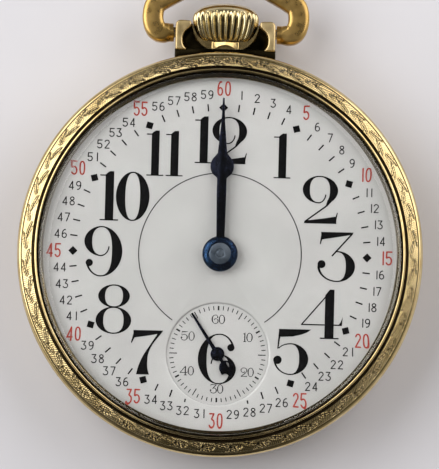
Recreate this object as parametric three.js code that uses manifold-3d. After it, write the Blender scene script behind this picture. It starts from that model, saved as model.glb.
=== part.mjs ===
// Open face pocket watch with a stem-wound three-quarter plate movement.
// Millimetres, +Z up. The watch lies on its back with the dial facing +Z and the pendant towards +Y.
// The origin is on the centre wheel's axis, on the flat middle of the back cover.
import * as THREE from "three";
import { mergeVertices } from "three/addons/utils/BufferGeometryUtils.js";
import Module from "manifold-3d";

const wasm = await Module();
wasm.setup();

// ---------------------------------------------------------------- driving dimensions

const CASE_R = 25.25; // outside radius of the bezel
const CASE_SIDES = 48; // facets round the case
const AXIS_Z = 5.8; // height of the stem, the pendant and the bow's pivot
const SLACK = 0.04; // gap left between pieces that touch
const RUN = 0.05; // radial clearance of a pivot or a screw in its hole

const BAND = { outer: 25.15, shoulder: 24.6, neck: 23.2, low: 2.55, high: 9.75 };
const DIAL = { r: 22.05, low: 9.45, high: 10.15, sunkR: 6.32, sunkLow: 9.5, sunkHigh: 9.85 };
const CRYSTAL = { r: 22.5, top: 13.2, thickness: 0.9 };
const PLATE = { r: 21.6, low: 7.2, high: 8.35, rimLow: 6.87, rimHigh: 9.4, rimR: 20.3 };
const BRIDGE = { r: 20.5, low: 3.25, high: 4.3 };

const PENDANT = { halfWidth: 6.3, halfDepth: 3.1, foot: 24.4, floor: 25.7, top: 29.4, wall: 1.0 };
const CROWN = { low: 26.9, flutes: 28, fluteDepth: 0.22 };
const BOW = { pivotY: 28.05, endX: 6.45, section: 2.6, pinR: 0.7 };

// Teeth and module of each wheel and pinion. A centre distance is half the module times both counts.
const BARREL = { teeth: 65, module: 0.264, low: 4.4, high: 6.0, drumR: 8.05 };
const CENTRE = { teeth: 64, module: 0.225, low: 6.6, high: 6.82, leaves: 10 };
const THIRD = { teeth: 60, module: 0.2125, low: 6.1, high: 6.3, leaves: 8 };
const FOURTH = { teeth: 60, module: 0.16, low: 6.6, high: 6.8, leaves: 8 };
const ESCAPE = { teeth: 15, tipR: 2.7, low: 6.1, high: 6.3, leaves: 6 };
const MOTION = { cannon: 10, minute: 30, pinion: 8, hour: 32, module: 0.24, addendum: 0.5 };
const WINDING = { ratchet: 49, crown: 28, module: 0.274, low: 2.65, high: 3.2, face: 22, pinion: 12 };

const BALANCE = { rimR: 7.7, screwR: 8.1, low: 4.6, high: 5.15 };
const LEVER = { reach: 3.3, fork: 4.4 }; // pallet arbor to escape wheel, and to the balance

// ---------------------------------------------------------------- places of the arbors, in plan

const polar = (r, degrees) => new THREE.Vector2(
  r * Math.cos(THREE.MathUtils.degToRad(degrees)),
  r * Math.sin(THREE.MathUtils.degToRad(degrees)),
);

// The point at distance ra from a and rb from b, on the left of the way from a to b if side is +1.
function meet(a, ra, b, rb, side) {
  const span = b.clone().sub(a);
  const d = span.length();
  const along = (ra * ra - rb * rb + d * d) / (2 * d);
  const across = side * Math.sqrt(ra * ra - along * along);
  span.divideScalar(d);
  return new THREE.Vector2(
    a.x + span.x * along - span.y * across,
    a.y + span.y * along + span.x * across,
  );
}
const reach = (m, a, b) => (m * (a + b)) / 2;

const AT = { centre: new THREE.Vector2(0, 0), fourth: new THREE.Vector2(0, -12.4) };
AT.barrel = polar(reach(BARREL.module, BARREL.teeth, CENTRE.leaves), 150);
AT.third = meet(
  AT.centre, reach(CENTRE.module, CENTRE.teeth, THIRD.leaves),
  AT.fourth, reach(THIRD.module, THIRD.teeth, FOURTH.leaves), -1,
);
AT.balance = polar(12.0, -27);
AT.escape = meet(
  AT.fourth, reach(FOURTH.module, FOURTH.teeth, ESCAPE.leaves),
  AT.balance, LEVER.reach + LEVER.fork, -1,
);
AT.pallet = AT.escape.clone().lerp(AT.balance, LEVER.reach / (LEVER.reach + LEVER.fork));
AT.minuteWheel = polar(reach(MOTION.module, MOTION.cannon, MOTION.minute), 62);
const ratchetReach = reach(WINDING.module, WINDING.ratchet, WINDING.crown);
AT.crownWheel = new THREE.Vector2(
  0, AT.barrel.y + Math.sqrt(ratchetReach ** 2 - AT.barrel.x ** 2),
);
const FACE_R = 3.1; // radius of the crown wheel's face teeth
const PINION_Y = AT.crownWheel.y + FACE_R; // middle of the winding pinion, on the stem

const BARREL_PILLARS = [
  new THREE.Vector2(-18.2, -0.1), new THREE.Vector2(-4.2, 17.8), new THREE.Vector2(10.5, 13.0),
];
const TRAIN_PILLARS = [
  new THREE.Vector2(-15.5, -9.5), new THREE.Vector2(-6.2, -17.1), new THREE.Vector2(5.3, -17.3),
];
const COCK_FOOT = polar(17.4, 14);
const CLICK_AT = AT.barrel.clone().add(polar(8.35, 205));
const CASE_SCREWS = [polar(20.38, 196), polar(20.38, 24)];
const LEVER_SCREW = new THREE.Vector2(4.6, 16.6);
const LEVER_PIN = new THREE.Vector2(1.1, 17.6); // the setting lever's pin, with the crown pushed in
const LEVER_SWING = { least: -22, most: 2 }; // degrees that the pin turns round the lever's screw

// ---------------------------------------------------------------- materials

const finish = (color, roughness, metalness) => new THREE.MeshStandardMaterial({
  color, roughness, metalness,
});
const GOLD = finish(0xcfae72, 0.28, 1);
const BRASS = finish(0xc9a24f, 0.35, 1);
const NICKEL = finish(0xc3c3bf, 0.32, 1);
const STEEL = finish(0xa9adb2, 0.25, 1);
const BLUED = finish(0x141c33, 0.22, 1);
const ENAMEL = finish(0xe9e7e1, 0.18, 0);
const GLASS = new THREE.MeshStandardMaterial({
  color: 0xf4f8f8, roughness: 0.03, metalness: 0, transparent: true, opacity: 0.2,
});

// ---------------------------------------------------------------- solids

// One closed geometry as a solid, turned the right way out.
function solid(geometry) {
  const bare = geometry.clone();
  bare.deleteAttribute("normal");
  bare.deleteAttribute("uv");
  const merged = mergeVertices(bare, 1e-4);
  const vertProperties = new Float32Array(merged.attributes.position.array);
  const triVerts = new Uint32Array(merged.index.array);
  const made = new wasm.Manifold(new wasm.Mesh({ numProp: 3, vertProperties, triVerts }));
  if (made.volume() > 0) return made;
  for (let i = 0; i < triVerts.length; i += 3) {
    [triVerts[i + 1], triVerts[i + 2]] = [triVerts[i + 2], triVerts[i + 1]];
  }
  return new wasm.Manifold(new wasm.Mesh({ numProp: 3, vertProperties, triVerts }));
}
const joined = (...parts) => parts.reduce((sum, part) => sum.add(part));
const cut = (body, ...tools) => tools.reduce((left, tool) => left.subtract(tool), body);

const watch = new THREE.Group();

// Adds a solid to the watch as a named mesh.
function add(name, body, material) {
  const { vertProperties, triVerts, numProp, numVert } = body.getMesh();
  const positions = new Float32Array(numVert * 3);
  for (let i = 0; i < numVert; i += 1) {
    positions.set(vertProperties.subarray(i * numProp, i * numProp + 3), i * 3);
  }
  const geometry = new THREE.BufferGeometry();
  geometry.setAttribute("position", new THREE.BufferAttribute(positions, 3));
  geometry.setIndex(new THREE.BufferAttribute(new Uint32Array(triVerts), 1));
  const flat = geometry.toNonIndexed();
  flat.computeVertexNormals();
  const mesh = new THREE.Mesh(flat, material);
  mesh.name = name;
  watch.add(mesh);
}

// A round bar along Z.
function disc(r, low, high, at = AT.centre, sides = 16) {
  const bar = new THREE.CylinderGeometry(r, r, high - low, sides);
  return solid(bar.rotateX(Math.PI / 2).translate(at.x, at.y, (low + high) / 2));
}
// A round bar along X or along Y, at the height of the stem.
function barX(r, from, to, y, sides = 16) {
  const bar = new THREE.CylinderGeometry(r, r, to - from, sides);
  return solid(bar.rotateZ(Math.PI / 2).translate((from + to) / 2, y, AXIS_Z));
}
function barY(r, from, to, sides = 16) {
  const bar = new THREE.CylinderGeometry(r, r, to - from, sides);
  return solid(bar.translate(0, (from + to) / 2, AXIS_Z));
}
function block(x0, x1, y0, y1, z0, z1) {
  const box = new THREE.BoxGeometry(x1 - x0, y1 - y0, z1 - z0);
  return solid(box.translate((x0 + x1) / 2, (y0 + y1) / 2, (z0 + z1) / 2));
}
// A profile of [radius, height] points turned about a vertical axis. It closes on itself, or on the axis.
function turned(profile, at = AT.centre, sides = CASE_SIDES) {
  const points = profile.map(([r, h]) => new THREE.Vector2(r, h));
  if (profile[0][0] > 0) points.push(points[0].clone());
  const lathe = new THREE.LatheGeometry(points, sides);
  return solid(lathe.rotateX(Math.PI / 2).translate(at.x, at.y, 0));
}
// An outline given a thickness, from one height to another.
function plateOf(shape, low, high, curveSegments = 6) {
  const options = { depth: high - low, bevelEnabled: false, curveSegments };
  return solid(new THREE.ExtrudeGeometry(shape, options).translate(0, 0, low));
}
const outline = (points) => new THREE.Shape(points.map(([x, y]) => new THREE.Vector2(x, y)));

// A flat bar with round ends, from one point to another, tapering from width a to width b.
function tapered(from, to, a, b, low, high, sides = 16) {
  const way = to.clone().sub(from).normalize();
  const across = new THREE.Vector2(-way.y, way.x);
  const corner = (p, w) => p.clone().addScaledVector(across, w);
  const shape = new THREE.Shape([corner(from, a), corner(to, b), corner(to, -b), corner(from, -a)]);
  return joined(plateOf(shape, low, high), disc(a, low, high, from, sides), disc(b, low, high, to, sides));
}

// A stepped arbor: each step is [radius, height where the step starts], and the last height ends it.
function arbor(steps, end, at) {
  const profile = [[0, steps[0][1]]];
  steps.forEach(([r, low], i) => {
    const high = i + 1 < steps.length ? steps[i + 1][1] : end;
    profile.push([r, low], [r, high]);
  });
  profile.push([0, end]);
  return turned(profile, at, 12);
}

// ---------------------------------------------------------------- gears

// The outline of a wheel with plain pointed teeth, or with flat-topped leaves on a pinion.
// The addendum is the height of a tooth above the pitch circle, in modules.
function toothed(teeth, m, phase, { leaves = false, addendum = 0.9 } = {}) {
  const pitch = (2 * Math.PI) / teeth;
  const r = (m * teeth) / 2;
  const tip = r + addendum * m;
  const root = r - 1.15 * m;
  const corners = leaves
    ? [[-0.3, root], [-0.14, tip], [0.14, tip], [0.3, root]]
    : [[0, tip], [0.5, root]];
  const points = [];
  for (let i = 0; i < teeth; i += 1) {
    corners.forEach(([turn, radius]) => {
      const a = phase + (i + turn) * pitch;
      points.push([radius * Math.cos(a), radius * Math.sin(a)]);
    });
  }
  return outline(points);
}

// Phase of a wheel's first tooth, so that its teeth stand in the gaps of the wheel that it meshes with.
function phaseAgainst(other, at, teeth) {
  const way = Math.atan2(at.y - other.at.y, at.x - other.at.x);
  const turns = ((way - other.phase) * other.teeth) / (2 * Math.PI);
  const offset = turns - Math.floor(turns);
  return way + Math.PI - ((0.5 - offset) * 2 * Math.PI) / teeth;
}

// A window between two spokes of a wheel.
function spokeWindow(rimR, hubR, spokes, i, spokeWidth) {
  const step = (2 * Math.PI) / spokes;
  const outerHalf = step / 2 - spokeWidth / 2 / rimR;
  const innerHalf = step / 2 - spokeWidth / 2 / hubR;
  const middle = i * step;
  const path = new THREE.Path();
  path.absarc(0, 0, rimR, middle - outerHalf, middle + outerHalf, false);
  path.absarc(0, 0, hubR, middle + innerHalf, middle - innerHalf, true);
  path.closePath();
  return path;
}

function wheel({ teeth, module: m, low, high, at, phase, bore, spokes = 0, addendum = 0.9 }) {
  const shape = toothed(teeth, m, phase, { addendum });
  const r = (m * teeth) / 2;
  for (let i = 0; i < spokes; i += 1) {
    shape.holes.push(spokeWindow(r - 1.0, 1.5, spokes, i, 0.75));
  }
  const blank = plateOf(shape, low, high, 2).translate([at.x, at.y, 0]);
  return bore ? cut(blank, disc(bore, low - 1, high + 1, at, 12)) : blank;
}
function pinion(leaves, m, phase, at, low, high, addendum = 0.9) {
  const shape = toothed(leaves, m, phase, { leaves: true, addendum });
  return plateOf(shape, low, high).translate([at.x, at.y, 0]);
}

// ---------------------------------------------------------------- case

const bandProfile = [
  [20.9, 6.8], [21.75, 6.8], [21.75, 9.35], [22.15, 9.35], [22.15, 10.2],
  [BAND.neck, 10.2], [BAND.neck, BAND.high], [BAND.shoulder, BAND.high],
  [BAND.outer, 6.1], [BAND.shoulder, BAND.low], [BAND.neck, BAND.low],
  [BAND.neck, 2.0], [22.0, 2.0], [22.0, 5.5], [20.9, 5.5],
];
const bezelProfile = [
  [21.9, 10.24], [22.12, 11.42], [22.6, 11.42], [22.62, 12.0], [22.9, 12.0],
  [23.1, 11.6], [23.62, 11.85], [24.75, 11.4], [25.15, 11.2],
  [CASE_R, 10.7], [24.7, BAND.high + SLACK], [BAND.neck + 0.08, BAND.high + SLACK],
  [BAND.neck + 0.08, 10.24],
];
const backProfile = [
  [0, 0], [12.5, 0], [17.5, 0.28], [21.6, 0.95], [24.55, 2.1],
  [24.5, BAND.low - SLACK], [BAND.neck + 0.08, BAND.low - SLACK],
  [BAND.neck + 0.08, 1.9], [17.5, 0.95], [11.5, 0.65], [0, 0.65],
];

const sleeveBore = barY(1.8, 20.0, 26.5);
const bandHole = cut(turned(bandProfile), sleeveBore);
add("case_center", bandHole, GOLD);
add("bezel", turned(bezelProfile), GOLD);
add("back_cover", turned(backProfile), GOLD);

const crystalEdge = CRYSTAL.top - 1.25;
const crystalProfile = [
  [0, CRYSTAL.top - CRYSTAL.thickness], [10, 12.2], [18.5, 11.9], [21.95, 11.5],
  [CRYSTAL.r, 11.5], [CRYSTAL.r, crystalEdge], [21.0, 12.5], [17.0, 12.86], [9, 13.12],
  [0, CRYSTAL.top],
];
add("crystal", turned(crystalProfile), GLASS);

// The pendant: a U-shaped frame on the band, with its corners filled in towards the crown.
function pendant() {
  const { halfWidth, halfDepth, foot, floor, top, wall } = PENDANT;
  const z0 = AXIS_Z - halfDepth;
  const z1 = AXIS_Z + halfDepth;
  const frame = new THREE.Shape();
  frame.moveTo(-halfWidth, foot);
  frame.lineTo(halfWidth, foot);
  frame.lineTo(halfWidth, top - 0.7);
  frame.quadraticCurveTo(halfWidth, top, halfWidth - 0.7, top);
  frame.lineTo(halfWidth - 1.5, top);
  frame.lineTo(halfWidth - 1.5, top - 0.5);
  frame.lineTo(halfWidth - wall, top - 1.1);
  frame.lineTo(halfWidth - wall - 1.2, floor + 0.6);
  frame.lineTo(halfWidth - wall - 1.7, floor);
  frame.lineTo(-halfWidth + wall + 1.7, floor);
  frame.lineTo(-halfWidth + wall + 1.2, floor + 0.6);
  frame.lineTo(-halfWidth + wall, top - 1.1);
  frame.lineTo(-halfWidth + 1.5, top - 0.5);
  frame.lineTo(-halfWidth + 1.5, top);
  frame.lineTo(-halfWidth + 0.7, top);
  frame.quadraticCurveTo(-halfWidth, top, -halfWidth, top - 0.7);
  const beak = new THREE.Shape();
  beak.moveTo(-1.7, floor - 0.1);
  beak.lineTo(1.7, floor - 0.1);
  beak.lineTo(0, 26.55);
  const ridge = plateOf(beak, z0 + 0.25, z1 - 0.25);
  const body = joined(plateOf(frame, z0, z1), ridge);
  const bandRoom = disc(BAND.outer + SLACK, 0, 12, AT.centre, CASE_SIDES * 2);
  return cut(
    body, bandRoom, barY(1.8, 20, 27.5),
    barX(BOW.pinR + RUN, -7.5, 7.5, BOW.pivotY),
  );
}
add("pendant", pendant(), GOLD);
add("pendant_sleeve", cut(barY(1.75, 21.9, 26.3), barY(1.1, 21, 27)), STEEL);

// The crown: an onion with flutes, and a bore that takes the stem.
function crown() {
  const { low, flutes, fluteDepth } = CROWN;
  const profile = [
    [0, low], [3.1, low], [3.85, 28.4], [4.15, 29.8], [4.05, 30.5], [3.6, 31.2],
    [2.0, 31.85], [0, 32.0],
  ];
  const points = profile.map(([r, h]) => new THREE.Vector2(r, h));
  const shell = new THREE.LatheGeometry(points, flutes * 2);
  const position = shell.attributes.position;
  for (let i = 0; i < position.count; i += 1) {
    const x = position.getX(i);
    const z = position.getZ(i);
    const h = position.getY(i);
    const r = Math.hypot(x, z);
    const turn = Math.round((Math.atan2(x, z) / Math.PI) * flutes);
    if (Math.abs(turn) % 2 === 1 && r > 2.8 && h < 31.0) {
      position.setX(i, (x * (r - fluteDepth)) / r);
      position.setZ(i, (z * (r - fluteDepth)) / r);
    }
  }
  return cut(solid(shell.translate(0, 0, AXIS_Z)), barY(0.8, 20, 29.2));
}
add("crown", crown(), GOLD);

// The bow: a stirrup whose two arms turn on pins in the ears.
function bow() {
  const half = [[8.0, 28.05], [8.85, 28.65], [9.12, 29.8], [9.0, 31.1], [8.1, 32.1], [3.2, 34.85]];
  const { endX, pivotY, section, pinR } = BOW;
  const route = [
    [-endX, pivotY], ...half.map(([x, y]) => [-x, y]), [0, 35.5],
    ...half.map(([x, y]) => [x, y]).reverse(), [endX, pivotY],
  ];
  const path = new THREE.CatmullRomCurve3(
    route.map(([x, y]) => new THREE.Vector3(x, y, AXIS_Z)), false, "centripetal",
  );
  const a = section / 2;
  const b = a * 0.45;
  const octagon = outline([[a, -b], [a, b], [b, a], [-b, a], [-a, b], [-a, -b], [-b, -a], [b, -a]]);
  const ring = solid(new THREE.ExtrudeGeometry(octagon, {
    steps: 34, extrudePath: path, bevelEnabled: false,
  }));
  return cut(ring, barX(pinR + RUN, -8.0, 8.0, pivotY), barX(1.6, -endX, endX, pivotY));
}
add("bow", bow(), GOLD);
for (const [side, sign] of [["left", -1], ["right", 1]]) {
  const ends = [sign * 5.1, sign * 7.95].sort((a, b) => a - b);
  add(`bow_pin_${side}`, barX(BOW.pinR, ends[0], ends[1], BOW.pivotY, 12), STEEL);
}

// Stem: a round bar in the sleeve and the crown, and a narrower end that carries pinion and clutch.
add("winding_stem", joined(
  barY(0.75, 19.6, 29.1, 12), barY(0.55, 9.9, 19.7, 4), barY(0.95, 21.2, 21.7, 12),
), STEEL);

// ---------------------------------------------------------------- plates and bridges

// A screw with its head on the back of a bridge: the shank reaches into the main plate.
const SCREW = { headR: 0.95, headLow: 2.85, shankR: 0.42 };
function screw(at, headLow, headHigh, end, headR = SCREW.headR) {
  const body = joined(
    disc(headR, headLow, headHigh, at, 10), disc(SCREW.shankR, headHigh - 0.05, end, at, 6),
  );
  const slot = block(at.x - headR, at.x + headR, at.y - 0.12, at.y + 0.12, headLow - 0.1, headLow + 0.2);
  return cut(body, slot);
}
const screwHole = (at, low, high) => disc(SCREW.shankR + RUN, low, high, at, 6);

// The plate's holes for arbors: [place, radius].
const PLATE_HOLES = [
  [AT.centre, 0.75], [AT.barrel, 0.65], [AT.third, 0.2], [AT.fourth, 0.3], [AT.escape, 0.2],
  [AT.pallet, 0.2], [AT.balance, 0.25], [AT.minuteWheel, 0.35],
];
const dialFeet = [polar(17.6, 100), polar(17.6, 222), polar(17.6, -20)];

const leverPinPlaces = [0, 0.2, 0.4, 0.6, 0.8, 1].map((share) => {
  const turn = THREE.MathUtils.lerp(LEVER_SWING.least, LEVER_SWING.most, share);
  return LEVER_PIN.clone().rotateAround(LEVER_SCREW, THREE.MathUtils.degToRad(turn));
});

function mainPlate() {
  const { r, low, high, rimLow, rimHigh, rimR } = PLATE;
  const body = turned([
    [0, low], [19.8, low], [19.8, rimLow], [r, rimLow], [r, rimHigh], [rimR, rimHigh],
    [rimR, high], [0, high],
  ]);
  const pillarScrews = [...BARREL_PILLARS, ...TRAIN_PILLARS, COCK_FOOT];
  return cut(
    body,
    ...PLATE_HOLES.map(([at, hole]) => disc(hole, low - 1, high + 1, at, 8)),
    ...pillarScrews.map((at) => screwHole(at, low - 1, high - 0.2)),
    ...dialFeet.map((at) => disc(0.5 + RUN, low + 0.3, high + 1, at, 8)),
    ...CASE_SCREWS.map((at) => screwHole(at, rimLow - 1, rimHigh - 1)),
    block(-2.0, 2.0, PINION_Y - 1.0, PINION_Y + 1.2, low - 1, 7.75),
    ...leverPinPlaces.map((at) => disc(0.52, low - 1, high + 1, at, 10)),
    disc(0.47, low - 1, high + 1, LEVER_SCREW, 8),
  );
}
add("main_plate", mainPlate(), NICKEL);

const halfPlane = (y0, y1, x1 = 22) => block(-22, x1, y0, y1, BRIDGE.low - 1, BRIDGE.high + 1);
const balanceWell = disc(BALANCE.screwR + 0.45, 0, 12, AT.balance, 40);
const pillar = (at) => disc(1.25, BRIDGE.high - 0.1, PLATE.low - SLACK, at, 10);
const bridgeDisc = () => disc(BRIDGE.r, BRIDGE.low, BRIDGE.high, AT.centre, CASE_SIDES);

// Annular groove and window in the barrel bridge, where the crown wheel's face teeth turn.
function crownWheelRoom() {
  const at = AT.crownWheel;
  const groove = cut(
    disc(FACE_R + 0.6, BRIDGE.low - 1, 4.14, at, 24), disc(FACE_R - 0.6, 0, 5, at, 24),
  );
  return [groove, block(-1.9, 1.9, PINION_Y - 0.95, PINION_Y + 1.15, BRIDGE.low - 1, BRIDGE.high + 1)];
}
const cockRoom = tapered(COCK_FOOT, AT.balance, 2.85, 2.15, 0, 12, 16);
function barrelBridge() {
  const body = joined(bridgeDisc().intersect(halfPlane(-2.0, 22)), ...BARREL_PILLARS.map(pillar));
  return cut(
    body, balanceWell, ...crownWheelRoom(), cockRoom, disc(1.0, 0, 12, CASE_SCREWS[1], 10),
    disc(0.95 + RUN, 0, 5, AT.barrel), disc(0.3 + RUN, 0, 5, AT.centre, 10),
    ...BARREL_PILLARS.map((at) => screwHole(at, 0, 8)), screwHole(AT.crownWheel, 0, 8),
    disc(0.4 + RUN, 0, 8, CLICK_AT, 10),
  );
}
function trainBridge() {
  const body = joined(bridgeDisc().intersect(halfPlane(-22, -2.3, 14)), ...TRAIN_PILLARS.map(pillar));
  return cut(
    body, balanceWell, disc(1.0, 0, 12, CASE_SCREWS[0], 10),
    disc(0.2, 0, 12, AT.third, 8), disc(0.2, 0, 12, AT.fourth, 8),
    ...TRAIN_PILLARS.map((at) => screwHole(at, 0, 8)),
  );
}
add("barrel_bridge", barrelBridge(), NICKEL);
add("train_bridge", trainBridge(), NICKEL);

const COCK = { low: 2.9, high: 3.85 };
add("balance_cock", cut(
  joined(
    tapered(COCK_FOOT, AT.balance, 2.6, 1.9, COCK.low, COCK.high, 20),
    disc(2.3, COCK.high - 0.1, PLATE.low - SLACK, COCK_FOOT, 20),
  ),
  disc(0.2, 0, 12, AT.balance, 10), screwHole(COCK_FOOT, 0, 8),
), NICKEL);

// The pallet bridge lies under the balance and holds the pallet fork and the escape wheel.
const PALLET_BRIDGE = { low: 5.4, high: 5.8 };
const palletFeet = [
  AT.pallet.clone().add(polar(4.0, -42)), AT.escape.clone().add(polar(3.9, -70)),
];
add("pallet_bridge", cut(
  joined(
    tapered(palletFeet[0], AT.pallet, 0.9, 0.8, PALLET_BRIDGE.low, PALLET_BRIDGE.high, 12),
    tapered(AT.pallet, AT.escape, 0.8, 0.8, PALLET_BRIDGE.low, PALLET_BRIDGE.high, 12),
    tapered(AT.escape, palletFeet[1], 0.8, 0.9, PALLET_BRIDGE.low, PALLET_BRIDGE.high, 12),
    ...palletFeet.map((at) => disc(0.85, 5.5, PLATE.low - SLACK, at, 12)),
  ),
  disc(0.2, 0, 12, AT.pallet, 8), disc(0.2, 0, 12, AT.escape, 8),
), NICKEL);

BARREL_PILLARS.forEach((at, i) => {
  add(`barrel_bridge_screw_${i + 1}`, screw(at, SCREW.headLow, BRIDGE.low - SLACK, 8.0), BLUED);
});
TRAIN_PILLARS.forEach((at, i) => {
  add(`train_bridge_screw_${i + 1}`, screw(at, SCREW.headLow, BRIDGE.low - SLACK, 8.0), BLUED);
});
add("cock_screw", screw(COCK_FOOT, 2.45, COCK.low - SLACK, 8.0, 1.15), BLUED);
CASE_SCREWS.forEach((at, i) => {
  add(`case_screw_${i + 1}`, screw(at, 4.9, 5.46, 8.2, 0.75), STEEL);
});

// ---------------------------------------------------------------- winding work

const barrelPhase = 0.02;
const ratchetGear = { at: AT.barrel, teeth: WINDING.ratchet, phase: 0 };
const crownPhase = phaseAgainst(ratchetGear, AT.crownWheel, WINDING.crown);
add("ratchet_wheel", wheel({
  teeth: WINDING.ratchet, module: WINDING.module, low: WINDING.low, high: WINDING.high,
  at: AT.barrel, phase: 0, bore: 0.5,
}), STEEL);
add("ratchet_screw", screw(AT.barrel, 2.1, WINDING.low - SLACK, 4.0, 1.5), BLUED);

function crownWheel() {
  const at = AT.crownWheel;
  const flat = wheel({
    teeth: WINDING.crown, module: WINDING.module, low: WINDING.low, high: WINDING.high,
    at, phase: crownPhase, bore: 1.25,
  });
  const teeth = [];
  for (let i = 0; i < WINDING.face; i += 1) {
    const tooth = new THREE.BoxGeometry(0.8, 0.3, 0.4).translate(FACE_R, 0, 3.85);
    tooth.rotateZ(((i + 0.5) * 2 * Math.PI) / WINDING.face + Math.PI / 2).translate(at.x, at.y, 0);
    teeth.push(solid(tooth));
  }
  const skirt = cut(disc(FACE_R + 0.4, WINDING.high - 0.1, 3.7, at, 26), disc(FACE_R - 0.4, 0, 5, at, 26));
  return joined(flat, skirt, ...teeth);
}
add("crown_wheel", crownWheel(), STEEL);
add("crown_wheel_core", joined(
  disc(2.0, 2.3, WINDING.low - SLACK, AT.crownWheel, 20),
  disc(1.2, WINDING.low - 0.1, BRIDGE.low - SLACK, AT.crownWheel, 16),
  disc(SCREW.shankR, BRIDGE.low - 0.1, 4.0, AT.crownWheel, 8),
), STEEL);

// A toothed sleeve on the stem: the same outline as a pinion, laid along Y.
function stemGear(teeth, m, from, to, bore) {
  const options = { depth: to - from, bevelEnabled: false };
  const body = new THREE.ExtrudeGeometry(toothed(teeth, m, 0, { leaves: true }), options);
  body.rotateX(-Math.PI / 2).rotateY(0.5 * Math.PI).translate(0, from, AXIS_Z);
  return cut(solid(body), barY(bore, 0, 30, 8));
}
add("winding_pinion", stemGear(WINDING.pinion, 0.262, PINION_Y - 0.6, PINION_Y + 0.9, 0.62), STEEL);
add("clutch_wheel", joined(
  stemGear(10, 0.2, PINION_Y - 3.3, PINION_Y - 2.5, 0.62),
  cut(barY(0.9, PINION_Y - 2.6, PINION_Y - 1.4, 12), barY(0.62, 0, 30, 8)),
  cut(barY(1.15, PINION_Y - 1.5, PINION_Y - 0.75, 12), barY(0.62, 0, 30, 8)),
), STEEL);

// The click lies against the ratchet wheel, and its spring presses on its tail.
const clickTip = AT.barrel.clone().add(polar(WINDING.module * WINDING.ratchet / 2 + 0.42, 228));
const clickTail = CLICK_AT.clone().add(polar(1.5, 150));
add("click", joined(
  tapered(CLICK_AT, clickTip, 0.75, 0.14, WINDING.low, WINDING.high, 10),
  tapered(CLICK_AT, clickTail, 0.7, 0.3, WINDING.low, WINDING.high, 10),
  disc(0.4, WINDING.high - 0.1, 4.1, CLICK_AT, 10),
), STEEL);
const springFoot = AT.barrel.clone().add(polar(9.6, 160));
const springTip = clickTail.clone().add(polar(0.62, 150));
add("click_spring", tapered(springFoot, springTip, 0.6, 0.12, 2.85, BRIDGE.low - SLACK, 10), STEEL);

// Setting lever on the dial side: its pin reaches through the plate to the stem's collar.
add("setting_lever", joined(
  tapered(LEVER_SCREW, LEVER_PIN, 1.0, 0.5, PLATE.high + SLACK, 8.8, 12),
  tapered(LEVER_SCREW, LEVER_SCREW.clone().add(polar(2.6, -58)), 1.0, 0.45, PLATE.high + SLACK, 8.8, 12),
  disc(0.4, 6.7, 8.5, LEVER_PIN, 8), disc(0.42, 7.3, 8.5, LEVER_SCREW, 8),
), STEEL);

// ---------------------------------------------------------------- barrel and going train

function mainspringBarrel() {
  const { low, high, drumR, teeth, module: m } = BARREL;
  const flange = plateOf(toothed(teeth, m, barrelPhase), high - 0.5, high)
    .translate([AT.barrel.x, AT.barrel.y, 0]);
  return cut(
    joined(disc(drumR, low + 0.3, high, AT.barrel, 28), flange),
    disc(drumR - 0.45, low, high - 0.25, AT.barrel, 28), disc(0.6 + RUN, 0, 12, AT.barrel, 12),
  );
}
add("mainspring_barrel", mainspringBarrel(), BRASS);
add("barrel_cover", cut(
  disc(BARREL.drumR, BARREL.low, BARREL.low + 0.26, AT.barrel, 28), disc(0.95 + RUN, 0, 12, AT.barrel),
), BRASS);
add("barrel_arbor", cut(
  arbor([[0.95, WINDING.high + SLACK], [1.3, BARREL.low + 0.34], [0.6, 5.7]], PLATE.high - 0.2, AT.barrel),
  screwHole(AT.barrel, 2, 4.2),
), STEEL);

// A flat spiral strip that starts at an angle and widens evenly.
function spiral(innerR, outerR, turns, width, low, high, at, stepsPerTurn) {
  const steps = Math.round(turns * stepsPerTurn);
  const edge = (side) => Array.from({ length: steps + 1 }, (_, i) => {
    const r = innerR + ((outerR - innerR) * i) / steps + (side * width) / 2;
    const a = (2 * Math.PI * turns * i) / steps;
    return [at.x + r * Math.cos(a), at.y + r * Math.sin(a)];
  });
  return plateOf(outline([...edge(1), ...edge(-1).reverse()]), low, high);
}
add("mainspring", spiral(1.7, 7.2, 4, 0.4, BARREL.low + 0.4, BARREL.high - 0.35, AT.barrel, 14), STEEL);

const barrelGear = { at: AT.barrel, teeth: BARREL.teeth, phase: barrelPhase };
const centrePinionPhase = phaseAgainst(barrelGear, AT.centre, CENTRE.leaves);
add("centre_arbor", joined(
  arbor([[0.3, 3.6], [0.8, 4.5], [0.7, 6.3], [0.42, 8.2]], 10.9, AT.centre),
  pinion(CENTRE.leaves, BARREL.module, centrePinionPhase, AT.centre, 5.3, 6.2),
), STEEL);
add("centre_wheel", wheel({ ...CENTRE, at: AT.centre, phase: 0, bore: 0.72, spokes: 5 }), BRASS);

const centreGear = { at: AT.centre, teeth: CENTRE.teeth, phase: 0 };
const thirdPinionPhase = phaseAgainst(centreGear, AT.third, THIRD.leaves);
add("third_arbor", joined(
  arbor([[0.15, 3.6], [0.5, 4.5], [0.35, 5.9], [0.45, 6.45], [0.15, 7.1]], 7.9, AT.third),
  pinion(THIRD.leaves, CENTRE.module, thirdPinionPhase, AT.third, 6.42, 7.05),
), STEEL);
add("third_wheel", wheel({ ...THIRD, at: AT.third, phase: 0, bore: 0.38, spokes: 5 }), BRASS);

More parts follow.
